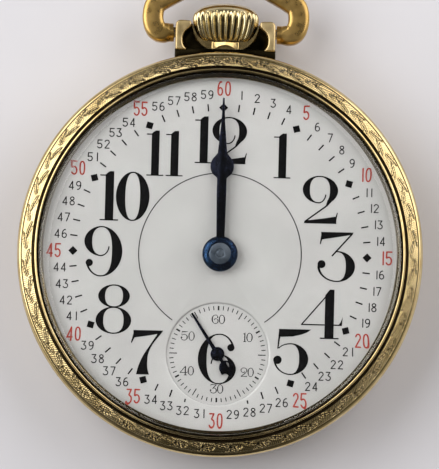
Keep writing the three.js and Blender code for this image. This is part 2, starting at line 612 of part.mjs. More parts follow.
const thirdGear = { at: AT.third, teeth: THIRD.teeth, phase: 0 };
const fourthPinionPhase = phaseAgainst(thirdGear, AT.fourth, FOURTH.leaves);
add("fourth_arbor", joined(
  arbor([[0.15, 3.6], [0.45, 4.5], [0.4, 6.4], [0.22, 7.1]], 10.02, AT.fourth),
  pinion(FOURTH.leaves, THIRD.module, fourthPinionPhase, AT.fourth, 5.85, 6.45),
), STEEL);
add("fourth_wheel", wheel({ ...FOURTH, at: AT.fourth, phase: 0, bore: 0.43, spokes: 5 }), BRASS);

const fourthGear = { at: AT.fourth, teeth: FOURTH.teeth, phase: 0 };
const escapePinionPhase = phaseAgainst(fourthGear, AT.escape, ESCAPE.leaves);
add("escape_arbor", joined(
  arbor([[0.15, 5.45], [0.28, 5.84], [0.3, 6.4], [0.15, 7.1]], 7.9, AT.escape),
  pinion(ESCAPE.leaves, FOURTH.module, escapePinionPhase, AT.escape, 6.42, 7.0),
), STEEL);

// The escape wheel's teeth lean forward, with a straight front and a curved back.
function escapeWheel() {
  const { teeth, tipR, low, high } = ESCAPE;
  const pitch = (2 * Math.PI) / teeth;
  const points = [];
  for (let i = 0; i < teeth; i += 1) {
    [[0, tipR - 0.75], [0.06, tipR - 0.12], [0.12, tipR], [0.24, tipR - 0.1], [0.42, tipR - 0.75]]
      .forEach(([turn, r]) => {
        const a = (i + turn) * pitch;
        points.push([r * Math.cos(a), r * Math.sin(a)]);
      });
  }
  const shape = outline(points);
  for (let i = 0; i < 4; i += 1) shape.holes.push(spokeWindow(tipR - 1.1, 0.7, 4, i, 0.35));
  const blank = plateOf(shape, low, high, 2).translate([AT.escape.x, AT.escape.y, 0]);
  return cut(blank, disc(0.33, 0, 12, AT.escape, 12));
}
add("escape_wheel", escapeWheel(), BRASS);

// The pallet fork: two arms with stones beside the escape wheel, and a lever with a forked end.
function palletFork() {
  const away = Math.atan2(AT.balance.y - AT.escape.y, AT.balance.x - AT.escape.x);
  const spot = (forward, sideways) => new THREE.Vector2(
    AT.pallet.x + forward * Math.cos(away) - sideways * Math.sin(away),
    AT.pallet.y + forward * Math.sin(away) + sideways * Math.cos(away),
  );
  const { low, high } = ESCAPE;
  const parts = [disc(0.5, low, high, AT.pallet, 10)];
  for (const side of [-1, 1]) {
    parts.push(tapered(AT.pallet, spot(-0.75, side * 2.1), 0.4, 0.3, low, high, 6));
    parts.push(tapered(spot(-0.75, side * 2.1), spot(-1.45, side * 2.42), 0.15, 0.15, low, high, 6));
    parts.push(tapered(spot(3.0, 0), spot(3.4, side * 0.4), 0.16, 0.1, low, high, 6));
  }
  parts.push(tapered(AT.pallet, spot(3.0, 0), 0.35, 0.2, low, high, 6));
  return cut(joined(...parts), disc(0.3, 0, 12, AT.pallet, 8));
}
add("pallet_fork", palletFork(), STEEL);
add("pallet_arbor", arbor([[0.15, 5.45], [0.28, 5.84]], 7.1, AT.pallet).add(
  disc(0.15, 7.0, 7.9, AT.pallet, 8),
), STEEL);

// ---------------------------------------------------------------- balance

function balanceWheel() {
  const { rimR, screwR, low, high } = BALANCE;
  const middle = (low + high) / 2;
  const parts = [
    cut(disc(rimR, low, high, AT.balance, 32), disc(rimR - 0.75, 0, 12, AT.balance, 32)),
    tapered(
      AT.balance.clone().add(polar(rimR - 0.4, 60)), AT.balance.clone().add(polar(rimR - 0.4, 240)),
      0.42, 0.42, low + 0.1, high - 0.1, 8,
    ),
    disc(0.95, low + 0.1, high - 0.1, AT.balance, 12),
  ];
  const screws = 12;
  for (let i = 0; i < screws; i += 1) {
    const head = new THREE.CylinderGeometry(0.24, 0.24, 0.75, 5).rotateZ(Math.PI / 2);
    head.translate(screwR - 0.375, 0, middle).rotateZ(((i + 0.5) * 2 * Math.PI) / screws);
    parts.push(solid(head.translate(AT.balance.x, AT.balance.y, 0)));
  }
  return cut(joined(...parts), disc(0.45, 0, 12, AT.balance, 12));
}
add("balance_wheel", balanceWheel(), BRASS);
add("balance_staff", joined(
  arbor([[0.14, 3.1], [0.3, 3.9], [0.42, 4.5], [0.35, 5.2], [1.0, 5.95], [0.3, 6.05], [0.14, 7.1]],
    7.95, AT.balance),
  disc(0.16, 6.0, 6.36, AT.balance.clone().lerp(AT.pallet, 0.7 / LEVER.fork), 6),
), STEEL);
add("hairspring", joined(
  spiral(0.75, 3.9, 5, 0.14, 4.05, 4.3, AT.balance, 14),
  cut(disc(0.78, 4.0, 4.35, AT.balance, 12), disc(0.34, 0, 12, AT.balance, 12)),
), BLUED);

// The regulator turns on the cock about the balance's axis, and its index points over a scale.
const indexWay = COCK_FOOT.clone().sub(AT.balance).angle() * THREE.MathUtils.RAD2DEG;
function regulatorArm(length, way, a, b) {
  const end = AT.balance.clone().add(polar(length, indexWay + way));
  return tapered(AT.balance, end, a, b, 2.5, COCK.low - SLACK, 10);
}
add("regulator", cut(
  joined(
    disc(1.45, 2.5, COCK.low - SLACK, AT.balance, 20),
    regulatorArm(6.6, 14, 0.7, 0.14), regulatorArm(3.0, 150, 0.6, 0.3),
  ),
  disc(0.75, 0, 12, AT.balance, 16),
), STEEL);

// ---------------------------------------------------------------- motion work

const cannonGear = { at: AT.centre, teeth: MOTION.cannon, phase: 0.1 };
const minutePhase = phaseAgainst(cannonGear, AT.minuteWheel, MOTION.minute);
add("cannon_pinion", cut(
  joined(
    disc(0.72, 8.42, 11.1, AT.centre, 14),
    pinion(MOTION.cannon, MOTION.module, cannonGear.phase, AT.centre, 8.42, 8.75, MOTION.addendum),
  ),
  disc(0.42 + RUN, 0, 13, AT.centre, 12),
), STEEL);
const minuteReach = reach(MOTION.module, MOTION.cannon, MOTION.minute);
const hourModule = (2 * minuteReach) / (MOTION.pinion + MOTION.hour);
add("minute_wheel", joined(
  wheel({
    teeth: MOTION.minute, module: MOTION.module, low: 8.42, high: 8.6,
    at: AT.minuteWheel, phase: minutePhase, bore: 0, addendum: MOTION.addendum,
  }),
  pinion(MOTION.pinion, hourModule, 0, AT.minuteWheel, 8.55, 9.1),
  disc(0.3, 7.5, 8.5, AT.minuteWheel, 10),
), STEEL);
const minutePinionGear = { at: AT.minuteWheel, teeth: MOTION.pinion, phase: 0 };
add("hour_wheel", cut(
  joined(
    wheel({
      teeth: MOTION.hour, module: hourModule, low: 8.84, high: 9.08,
      at: AT.centre, phase: phaseAgainst(minutePinionGear, AT.centre, MOTION.hour), bore: 0.8,
    }),
    disc(1.25, 9.0, 10.75, AT.centre, 16),
  ),
  disc(0.8, 0, 13, AT.centre, 14),
), BRASS);

// ---------------------------------------------------------------- dial and hands

add("dial", cut(
  joined(
    disc(DIAL.r, DIAL.low, DIAL.high, AT.centre, CASE_SIDES),
    ...dialFeet.map((at) => disc(0.5, PLATE.low + 0.4, DIAL.low + 0.1, at, 8)),
  ),
  disc(DIAL.sunkR, 0, 12, AT.fourth, 40), disc(1.35, 0, 12, AT.centre, 16),
), ENAMEL);
add("seconds_dial", cut(
  disc(DIAL.sunkR - 0.05, DIAL.sunkLow, DIAL.sunkHigh, AT.fourth, 40), disc(0.3, 0, 12, AT.fourth, 8),
), ENAMEL);

// Each hand points at 12, with its hub on the origin of its own outline.
function hand(shape, low, high, hubR, hubHigh, bore, at, turn = 0) {
  const blade = plateOf(shape, low, high, 5);
  const hub = disc(hubR, low, hubHigh, AT.centre, 18);
  return cut(joined(blade, hub), disc(bore, 0, low + 0.3, AT.centre, 12))
    .rotate([0, 0, turn]).translate([at.x, at.y, 0]);
}

const minuteHand = outline([
  [-0.48, 0], [0.48, 0], [0.6, 7.5], [0.56, 12.6], [0.24, 16.2], [0.1, 19.4], [-0.1, 19.4],
  [-0.24, 16.2], [-0.56, 12.6], [-0.6, 7.5],
]);
function hourHand() {
  const shape = new THREE.Shape();
  shape.moveTo(-0.42, 0);
  shape.lineTo(0.42, 0);
  shape.lineTo(0.5, 7.6);
  shape.lineTo(0.32, 9.0);
  shape.bezierCurveTo(0.6, 9.5, 1.45, 9.9, 1.45, 10.9);
  shape.bezierCurveTo(1.45, 12.0, 0.35, 12.5, 0.1, 13.8);
  shape.lineTo(-0.1, 13.8);
  shape.bezierCurveTo(-0.35, 12.5, -1.45, 12.0, -1.45, 10.9);
  shape.bezierCurveTo(-1.45, 9.9, -0.6, 9.5, -0.32, 9.0);
  shape.lineTo(-0.5, 7.6);
  return shape;
}
// The tail is a small pierced anchor behind the hub.
function secondsHand() {
  const shape = new THREE.Shape();
  shape.moveTo(-0.2, 0);
  shape.lineTo(-0.1, 6.0);
  shape.lineTo(0.1, 6.0);
  shape.lineTo(0.2, 0);
  shape.lineTo(0.16, -1.2);
  shape.quadraticCurveTo(0.95, -1.5, 0.92, -2.5);
  shape.quadraticCurveTo(0.4, -2.5, 0.12, -3.2);
  shape.lineTo(-0.12, -3.2);
  shape.quadraticCurveTo(-0.4, -2.5, -0.92, -2.5);
  shape.quadraticCurveTo(-0.95, -1.5, -0.16, -1.2);
  return shape;
}
add("hour_hand", cut(
  hand(hourHand(), 10.8, 11.0, 2.2, 11.05, 1.0, AT.centre), disc(0.8, 0, 13, AT.centre, 14),
), BLUED);
const MINUTE_HAND = { low: 11.15, high: 11.4, hubR: 2.2, hubHigh: 11.95 };
const hubDome = turned([[0, MINUTE_HAND.low], [MINUTE_HAND.hubR, MINUTE_HAND.low],
  [MINUTE_HAND.hubR, 11.45], [1.8, 11.76], [0, MINUTE_HAND.hubHigh]], AT.centre, 18);
add("minute_hand", joined(plateOf(minuteHand, MINUTE_HAND.low, MINUTE_HAND.high), hubDome), BLUED);
const SECONDS_TURN = 33.5; // degrees from 12, anticlockwise: the hand rests near 54 seconds
add("seconds_hand", hand(secondsHand(), 10.08, 10.22, 0.8, 10.5, 0.01, AT.fourth, SECONDS_TURN), BLUED);

export default watch;
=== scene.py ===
"""An open face pocket watch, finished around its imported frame.

Lengths in this file are millimetres and angles are degrees, until a mesh or a light is made.
The watch lies on its back: +Z comes out of the dial and +Y points at the pendant and 12 o'clock.
"""

import math

import bmesh
import bpy
import numpy as np
from mathutils import Matrix, Vector
from mathutils.geometry import delaunay_2d_cdt


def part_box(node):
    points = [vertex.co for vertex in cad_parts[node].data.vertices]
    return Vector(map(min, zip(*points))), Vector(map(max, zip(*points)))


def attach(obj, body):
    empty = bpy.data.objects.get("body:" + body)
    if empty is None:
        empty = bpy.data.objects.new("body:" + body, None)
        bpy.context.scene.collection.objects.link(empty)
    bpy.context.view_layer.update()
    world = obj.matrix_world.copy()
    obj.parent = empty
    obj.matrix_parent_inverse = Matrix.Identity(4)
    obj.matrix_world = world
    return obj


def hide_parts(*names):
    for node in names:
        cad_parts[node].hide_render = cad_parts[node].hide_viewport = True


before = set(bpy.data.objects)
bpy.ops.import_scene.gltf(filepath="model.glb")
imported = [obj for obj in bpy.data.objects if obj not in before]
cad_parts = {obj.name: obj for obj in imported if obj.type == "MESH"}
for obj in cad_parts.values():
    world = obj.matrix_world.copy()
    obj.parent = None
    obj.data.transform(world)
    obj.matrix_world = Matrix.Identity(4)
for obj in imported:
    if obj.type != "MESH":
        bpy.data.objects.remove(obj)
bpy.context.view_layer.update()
MM = 0.001


# ------------------ places, from the frame

def box(node):
    """Lowest and highest corner of a CAD node, in millimetres."""
    low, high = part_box(node)
    return low / MM, high / MM


def middle(node):
    low, high = box(node)
    return (low + high) / 2


CASE_R = box("bezel")[1].x
BEZEL_TOP = box("bezel")[1].z
DIAL_TOP = box("dial")[1].z
DIAL_LOW = 9.45               # just above the dial's seat
DIAL_R = box("dial")[1].x
SUNK_TOP = box("seconds_dial")[1].z
SUNK_LOW = box("seconds_dial")[0].z
SUNK_R = box("seconds_dial")[1].x
SECONDS_AT = middle("seconds_dial").xy
SECONDS_TURN = 33.5           # where the seconds hand stands, in degrees before 12
STEM_Z = middle("crown").z
CROWN_LOW = box("crown")[0].y
CROWN_TOP = box("crown")[1].y
PIVOT_Y = middle("bow_pin_left").y
EAR_X = box("pendant")[1].x
EAR_TOP = box("pendant")[1].y
PENDANT_HALF = box("pendant")[1].z - STEM_Z
STEP_Y = 25.62                # top of the pendant's step, where the ears begin
PIN_R = 0.75                  # room for the bow's pins
BOW_SIDES = 40
BRIDGE_LOW = box("barrel_bridge")[0].z
COCK_LOW = box("balance_cock")[0].z

RING_R = 22.76                # inner radius of the bright ring beside the crystal
ENGRAVED = (23.42, 24.58)     # inner and outer radius of the bezel's engraved band
BAND_TOP = 11.80              # the engraved band's height at its inner radius
BAND_FALL = 0.42              # how much lower it is at its outer radius
ENGRAVING_DEPTH = 0.10
SCROLLS = 44                  # repeats of the leaf scroll round the bezel
FLUTES = 28


def add_object(name, data):
    made = bpy.data.objects.new(name, data)
    bpy.context.scene.collection.objects.link(made)
    return made


# ------------------ camera, light and floor

VIEW_HEIGHT = 58.3     # what the image's long side covers
CAMERA_DISTANCE = 560.0
ELEVATION = 86.5
ROLL = 1.45            # the watch lies turned clockwise by this much
AIM = Vector((-0.12, 2.45, 10.5))


def add_camera():
    data = bpy.data.cameras.new("camera")
    data.sensor_width = 36.0
    data.lens = data.sensor_width * CAMERA_DISTANCE / VIEW_HEIGHT
    data.clip_start = 0.05
    data.clip_end = 10.0
    camera = add_object("camera", data)
    tilt = math.radians(ELEVATION)
    back = Vector((0, -math.cos(tilt), math.sin(tilt)))
    camera.location = (AIM + back * CAMERA_DISTANCE) * MM
    turn = (-back).to_track_quat("-Z", "Y").to_matrix() @ Matrix.Rotation(math.radians(ROLL), 3, "Z")
    camera.rotation_euler = turn.to_euler()
    bpy.context.scene.camera = camera


def area_light(name, place, size, watts, colour):
    """A soft square light that looks at the watch."""
    data = bpy.data.lights.new(name, "AREA")
    data.shape = "RECTANGLE"
    data.size, data.size_y = size[0] * MM, size[1] * MM
    data.energy = watts
    data.color = colour
    light = add_object(name, data)
    light.location = Vector(place) * MM
    light.rotation_euler = (AIM * MM - light.location).to_track_quat("-Z", "Y").to_euler()


def maths_node(tree, operation, a, b):
    """A math node between two values, each a socket or a number."""
    node = tree.nodes.new("ShaderNodeMath")
    node.operation = operation
    for socket, value in zip(node.inputs, (a, b)):
        if isinstance(value, (int, float)):
            socket.default_value = value
        else:
            tree.links.new(value, socket)
    return node.outputs[0]


def add_world():
    """A soft room: bright at both sides and low behind the pendant, dim above, dark towards -Y."""
    world = bpy.data.worlds.new("room")
    bpy.context.scene.world = world
    world.use_nodes = True
    nodes, links = world.node_tree.nodes, world.node_tree.links
    background = nodes["Background"]
    direction = nodes.new("ShaderNodeTexCoord")
    axes = nodes.new("ShaderNodeSeparateXYZ")
    links.new(direction.outputs["Generated"], axes.inputs[0])

    def maths(operation, a, b):
        return maths_node(world.node_tree, operation, a, b)

    sides = maths("MULTIPLY", maths("POWER", axes.outputs["X"], 2.0), 0.70)
    above = maths("MULTIPLY", maths("POWER", axes.outputs["Z"], 8.0), 0.04)
    behind = maths("POWER", maths("MAXIMUM", axes.outputs["Y"], 0.0), 5.0)
    low = maths("MULTIPLY", behind, 0.25)
    total = maths("ADD", maths("ADD", sides, above), maths("ADD", low, 0.022))
    links.new(total, background.inputs["Strength"])
    background.inputs["Color"].default_value = (1.0, 0.985, 0.97, 1)


def add_floor():
    mesh = bpy.data.meshes.new("floor")
    half = 3.0
    mesh.from_pydata([(-half, -half, 0), (half, -half, 0), (half, half, 0), (-half, half, 0)],
                     [], [(0, 1, 2, 3)])
    mesh.materials.append(paper())
    floor = add_object("floor", mesh)
    floor.location.z = -0.02 * MM


# ------------------ materials

class Finish:
    """A Principled material whose colour, roughness and relief come from noise in object space."""

    def __init__(self, name, metallic=0.0, **constants):
        self.material = bpy.data.materials.new(name)
        self.material.use_nodes = True
        self.nodes = self.material.node_tree.nodes
        self.links = self.material.node_tree.links
        self.shader = self.nodes["Principled BSDF"]
        self.shader.inputs["Metallic"].default_value = metallic
        for socket, value in constants.items():
            self.shader.inputs[socket.replace("_", " ")].default_value = value
        self.coordinates = self.nodes.new("ShaderNodeTexCoord").outputs["Object"]
        self.height = None

    def stretched(self, x, y, z):
        """Object coordinates scaled along each axis."""
        mapping = self.nodes.new("ShaderNodeMapping")
        mapping.inputs["Scale"].default_value = (x, y, z)
        self.links.new(self.coordinates, mapping.inputs["Vector"])
        return mapping.outputs["Vector"]

    def noise(self, size, detail, vector=None, seed=0.0):
        """Noise with features of about this size in millimetres, from 0 to 1."""
        node = self.nodes.new("ShaderNodeTexNoise")
        node.noise_dimensions = "4D"
        node.inputs["W"].default_value = seed
        node.inputs["Scale"].default_value = 1.0 / (size * MM)
        node.inputs["Detail"].default_value = detail
        self.links.new(vector or self.coordinates, node.inputs["Vector"])
        return node.outputs["Fac"]

    def ramp(self, factor, low, high, start=0.35, end=0.65):
        """Maps a factor between start and end to a colour or a number between low and high."""
        node = self.nodes.new("ShaderNodeMapRange")
        node.inputs["From Min"].default_value = start
        node.inputs["From Max"].default_value = end
        self.links.new(factor, node.inputs["Value"])
        if isinstance(low, tuple):
            return self.blend(node.outputs["Result"], low, high)
        node.inputs["To Min"].default_value = low
        node.inputs["To Max"].default_value = high
        return node.outputs["Result"]

    def blend(self, factor, first, second):
        """A colour between two, each a socket or a constant."""
        mix = self.nodes.new("ShaderNodeMix")
        mix.data_type = "RGBA"
        self.links.new(factor, mix.inputs["Factor"])
        sockets = [socket for socket in mix.inputs if socket.type == "RGBA"]
        for socket, colour in zip(sockets, (first, second)):
            if isinstance(colour, tuple):
                socket.default_value = (*colour, 1)
            else:
                self.links.new(colour, socket)
        return next(socket for socket in mix.outputs if socket.type == "RGBA")

    def maths(self, operation, a, b):
        return maths_node(self.material.node_tree, operation, a, b)

    def axes(self):
        """Object coordinates in millimetres, one by one."""
        node = self.nodes.new("ShaderNodeSeparateXYZ")
        self.links.new(self.stretched(1 / MM, 1 / MM, 1 / MM), node.inputs[0])
        return node.outputs

    def set(self, socket, value):
        self.links.new(value, self.shader.inputs[socket])

    def vary(self, socket, size, detail, low, high, start=0.35, end=0.65, seed=0.0):
        """Drives a socket by noise, from low to high."""
        self.set(socket, self.ramp(self.noise(size, detail, seed=seed), low, high, start, end))

    def bump(self, height, strength, distance):
        """Adds a layer of relief, distance in millimetres."""
        node = self.nodes.new("ShaderNodeBump")
        node.inputs["Strength"].default_value = strength
        node.inputs["Distance"].default_value = distance * MM
        self.links.new(height, node.inputs["Height"])
        if self.height is not None:
            self.links.new(self.height, node.inputs["Normal"])
        self.height = node.outputs["Normal"]
        self.links.new(self.height, self.shader.inputs["Normal"])


def metal(name, dark, light, roughness, grain=2.4, scratch=0.12, shade_and_dirt=None):
    """Worn polished metal: cloudy colour, uneven polish, fine scratches two ways and soft dents."""
    finish = Finish(name, metallic=1.0)
    colour = finish.ramp(finish.noise(grain, 5.0), dark, light)
    # shade_and_dirt, where given, mixes the colour towards near black by its mask: painted shade, and
    # dirt where the mask also holds it
    if shade_and_dirt is not None:
        colour = finish.blend(shade_and_dirt(finish), colour, tuple(value * 0.07 for value in dark))
    finish.set("Base Color", colour)
    finish.vary("Roughness", 0.9, 4.0, roughness * 0.85, roughness * 1.2, seed=2.0)
    for seed, stretch in ((3.0, (1.0, 0.08, 0.3)), (5.0, (0.1, 1.0, 0.3))):
        lines = finish.noise(0.11, 2.0, finish.stretched(*stretch), seed)
        finish.bump(finish.ramp(lines, 0.0, 1.0, 0.45, 0.7), scratch, 0.003)
    finish.bump(finish.noise(2.2, 2.0, seed=7.0), 0.35, 0.02)
    return finish.material


def bezel_grime(finish):
    """Darkening below the bezel's own surface: dirt and painted shade in the engraving, painted shade in
    the groove and all over the seat.
    """
    maths = finish.maths
    x, y, z = finish.axes()
    r = maths("SQRT", maths("ADD", maths("MULTIPLY", x, x), maths("MULTIPLY", y, y)), 0.0)
    u = finish.ramp(r, 0.0, 1.0, *ENGRAVED)
    fall = maths("MULTIPLY", maths("POWER", u, 1.6), BAND_FALL)
    depth = maths("SUBTRACT", maths("SUBTRACT", BAND_TOP, fall), z)
    inside = maths("LESS_THAN", r, ENGRAVED[1] + 0.03)
    # darker the deeper the engraving is cut: dirt and painted shade
    cut = finish.ramp(depth, 0.0, 1.0, 0.02, 0.075)
    # painted shade over the whole seat inside the bright ring
    seat = finish.ramp(r, 0.82, 0.0, RING_R - 0.04, RING_R + 0.04)
    # 0.7 in the groove inside the band, 0.95 in the band's engraving: painted shade in the groove
    thick = finish.ramp(r, 0.7, 0.95, ENGRAVED[0] - 0.05, ENGRAVED[0] + 0.05)
    return maths("MULTIPLY", maths("MAXIMUM", maths("MULTIPLY", cut, thick), seat), inside)


def flute_grime(finish):
    """Painted shade between the crown's flutes, on its lower part."""
    maths = finish.maths
    x, y, z = finish.axes()
    turn = maths("ARCTAN2", x, maths("SUBTRACT", z, STEM_Z))
    valley = maths("COSINE", maths("MULTIPLY", turn, FLUTES), 0.0)
    # darkest in the valleys between the flutes: painted shade
    low = finish.ramp(valley, 0.85, 0.0, -1.0, -0.1)
    # fading out from y 29.3 to 30.35, so the upper part stays light: painted shade
    return maths("MULTIPLY", low, finish.ramp(y, 1.0, 0.0, 29.3, 30.35))


def enamel():
    finish = Finish("white_enamel", Coat_Weight=1.0, Coat_Roughness=0.05, Specular_IOR_Level=0.55)
    finish.vary("Base Color", 6.0, 5.0, (0.445, 0.445, 0.437), (0.485, 0.485, 0.477))
    finish.vary("Roughness", 0.3, 4.0, 0.16, 0.26, seed=1.0)
    finish.bump(finish.noise(0.9, 2.0, seed=4.0), 0.12, 0.01)
    finish.bump(finish.noise(0.08, 2.0, seed=6.0), 0.08, 0.003)
    return finish.material


def ink(name, colour, worn):
    """Fired enamel paint, a little thinner in places."""
    finish = Finish(name, Specular_IOR_Level=0.06)
    finish.vary("Base Color", 0.25, 4.0, colour, worn, 0.45, 0.8)
    finish.vary("Roughness", 0.2, 3.0, 0.3, 0.5, seed=1.0)
    finish.bump(finish.noise(0.06, 2.0, seed=2.0), 0.2, 0.004)
    return finish.material


def glass():
    """Clear mineral glass that lets the light through to the dial."""
    finish = Finish("crystal_glass", Transmission_Weight=1.0, IOR=1.46, Specular_IOR_Level=0.3)
    finish.vary("Base Color", 5.0, 3.0, (0.985, 0.995, 0.99), (1.0, 1.0, 1.0))
    finish.vary("Roughness", 0.5, 4.0, 0.0, 0.012, 0.5, 0.8, seed=1.0)
    finish.bump(finish.noise(4.0, 1.0, seed=3.0), 0.02, 0.01)
    nodes, links = finish.nodes, finish.links
    path = nodes.new("ShaderNodeLightPath")
    clear = nodes.new("ShaderNodeBsdfTransparent")
    mix = nodes.new("ShaderNodeMixShader")
    links.new(path.outputs["Is Shadow Ray"], mix.inputs["Fac"])
    links.new(finish.shader.outputs[0], mix.inputs[1])
    links.new(clear.outputs[0], mix.inputs[2])
    links.new(mix.outputs[0], nodes["Material Output"].inputs["Surface"])
    return finish.material


def ruby():
    finish = Finish("ruby", Transmission_Weight=0.45, IOR=1.76, Coat_Weight=0.5)
    finish.vary("Base Color", 0.4, 3.0, (0.42, 0.004, 0.03), (0.75, 0.02, 0.09))
    finish.vary("Roughness", 0.1, 3.0, 0.03, 0.09, seed=1.0)
    return finish.material


def nickel():
    """Plates with damaskeening: bands of curved brushing that catch the light one by one."""
    finish = Finish("damaskeened_nickel", metallic=1.0)
    waves = finish.nodes.new("ShaderNodeTexWave")
    waves.wave_type, waves.bands_direction = "BANDS", "DIAGONAL"
    waves.inputs["Scale"].default_value = 0.17 / MM
    waves.inputs["Distortion"].default_value = 0.6
    waves.inputs["Detail"].default_value = 1.0
    waves.inputs["Detail Scale"].default_value = 0.6
    finish.links.new(finish.coordinates, waves.inputs["Vector"])
    bands = waves.outputs["Fac"]
    finish.set("Base Color", finish.ramp(bands, (0.55, 0.54, 0.51), (0.78, 0.77, 0.74), 0.2, 0.8))
    finish.set("Roughness", finish.ramp(bands, 0.34, 0.17, 0.2, 0.8))
    lines = finish.noise(0.045, 2.0, finish.stretched(0.08, 1.0, 1.0), 3.0)
    finish.bump(lines, 0.3, 0.006)
    finish.bump(bands, 0.5, 0.03)
    return finish.material


def blued(name, low, high):
    """Steel heated to a dark blue."""
    finish = Finish(name, metallic=1.0)
    finish.vary("Base Color", 1.2, 3.0, low, high)
    finish.vary("Roughness", 0.2, 4.0, 0.16, 0.3, seed=1.0)
    finish.bump(finish.noise(0.05, 2.0, finish.stretched(1.0, 0.1, 1.0), 2.0), 0.15, 0.003)
    return finish.material


def paper():
    finish = Finish("backdrop_paper", Specular_IOR_Level=0.2)
    finish.vary("Base Color", 30.0, 4.0, (0.765, 0.76, 0.80), (0.80, 0.795, 0.835))
    finish.vary("Roughness", 2.0, 3.0, 0.75, 0.95, seed=1.0)
    finish.bump(finish.noise(0.4, 3.0, seed=2.0), 0.15, 0.03)
    return finish.material


GOLD = metal("gold_case", (0.55, 0.40, 0.165), (0.64, 0.48, 0.215), 0.22)
# engraving, groove and seat darkened: dirt and painted shade
BEZEL_GOLD = metal("gold_engraved", (0.57, 0.43, 0.20), (0.72, 0.57, 0.30), 0.16, shade_and_dirt=bezel_grime)
GOLD_SATIN = metal("gold_satin", (0.42, 0.27, 0.08), (0.58, 0.38, 0.13), 0.3, scratch=0.0)
GOLD_BRUSHED = metal("gold_brushed", (0.48, 0.36, 0.17), (0.70, 0.54, 0.28), 0.36, scratch=0.15)
# near-black gold for the recess between the ears: painted shade
SHADE_GOLD = metal("gold_painted_shade", (0.002, 0.0016, 0.0006), (0.012, 0.009, 0.004), 0.3)
# flute valleys and lower part darkened by painted shade
CROWN_GOLD = metal("gold_crown", (0.58, 0.48, 0.26), (0.74, 0.62, 0.35), 0.2, shade_and_dirt=flute_grime)
BRASS = metal("gilt_brass", (0.66, 0.44, 0.15), (0.80, 0.58, 0.24), 0.24)
STEEL = metal("polished_steel", (0.50, 0.51, 0.53), (0.66, 0.67, 0.69), 0.2)
BRUSHED = metal("brushed_steel", (0.05, 0.065, 0.085), (0.13, 0.155, 0.185), 0.4, scratch=0.3)
NICKEL = nickel()
BLUED = blued("blued_steel", (0.012, 0.02, 0.07), (0.03, 0.06, 0.2))
HANDS = blued("hand_steel", (0.004, 0.0045, 0.007), (0.009, 0.011, 0.021))
HUB = blued("hub_steel", (0.006, 0.012, 0.030), (0.02, 0.05, 0.11))
ENAMEL = enamel()
BLACK_INK = ink("black_print", (0.0008, 0.0008, 0.001), (0.0025, 0.0025, 0.003))
GREY_INK = ink("fine_print", (0.008, 0.008, 0.009), (0.03, 0.03, 0.03))
RED_INK = ink("red_print", (0.33, 0.04, 0.03), (0.42, 0.11, 0.085))
GLASS = glass()
RUBY = ruby()


# ------------------ meshes

def link_piece(name, mesh, body, material, replaces=(), sharp=35.0):
    """Makes a mesh in millimetres into a piece of the watch."""
    mesh.transform(Matrix.Scale(MM, 4))
    mesh.shade_smooth()
    mesh.set_sharp_from_angle(angle=math.radians(sharp))
    mesh.materials.clear()
    mesh.materials.append(material)
    piece = add_object(name, mesh)
    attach(piece, body)
    if replaces:
        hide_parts(*replaces)


def edited(mesh, change):
    """The mesh after change() has worked on it."""
    bm = bmesh.new()
    bm.from_mesh(mesh)
    change(bm)
    bm.to_mesh(mesh)
    bm.free()
    return mesh


def mesh_from(name, points, faces):
    mesh = bpy.data.meshes.new(name)
    mesh.from_pydata([tuple(p) for p in points], [], faces)
    return edited(mesh, lambda bm: bmesh.ops.recalc_face_normals(bm, faces=bm.faces))


def combined(mesh, operation, *tools):
    """Joins meshes to a mesh or cuts them from it."""
    body = add_object("work", mesh)
    for tool in tools:
        other = add_object("tool", tool)
        modifier = body.modifiers.new("cut", "BOOLEAN")
        modifier.operation = operation
        modifier.solver = "MANIFOLD"
        modifier.object = other
        bpy.context.view_layer.update()
        evaluated = body.evaluated_get(bpy.context.evaluated_depsgraph_get())
        made = bpy.data.meshes.new_from_object(evaluated)
        body.modifiers.clear()
        body.data = made
        bpy.data.objects.remove(other)
    result = body.data
    bpy.data.objects.remove(body)
    return result


def bevelled(mesh, width, segments):
    """The mesh with its hard edges rounded, width in millimetres."""
    hard_angle = math.radians(30.0)

    def change(bm):
        bmesh.ops.remove_doubles(bm, verts=bm.verts, dist=1e-4)
        bmesh.ops.dissolve_limit(bm, angle_limit=math.radians(1.0), verts=bm.verts, edges=bm.edges)
        hard = [e for e in bm.edges if e.is_manifold and e.calc_face_angle() > hard_angle]
        bmesh.ops.bevel(bm, geom=hard, offset=width, offset_type="OFFSET", segments=segments,
                        profile=0.5, affect="EDGES", clamp_overlap=True)

    return edited(mesh, change)


def rounded(points, radius=0.08, steps=4, closed=True):
    """Corners turned into short curves. A point may carry its own radius as a third number."""
    made = []
    last = len(points) - 1
    for i, point in enumerate(points):
        corner = Vector(point[:2])
        reach = point[2] if len(point) > 2 else radius
        if reach == 0 or (not closed and i in (0, last)):
            made.append(corner)
            continue
        before = Vector(points[i - 1][:2]) - corner
        after = Vector(points[(i + 1) % len(points)][:2]) - corner
        start = corner + before.normalized() * min(reach, before.length * 0.48)
        end = corner + after.normalized() * min(reach, after.length * 0.48)
        for k in range(steps + 1):
            t = k / steps
            made.append(start * (1 - t) ** 2 + corner * 2 * t * (1 - t) + end * t * t)
    return made


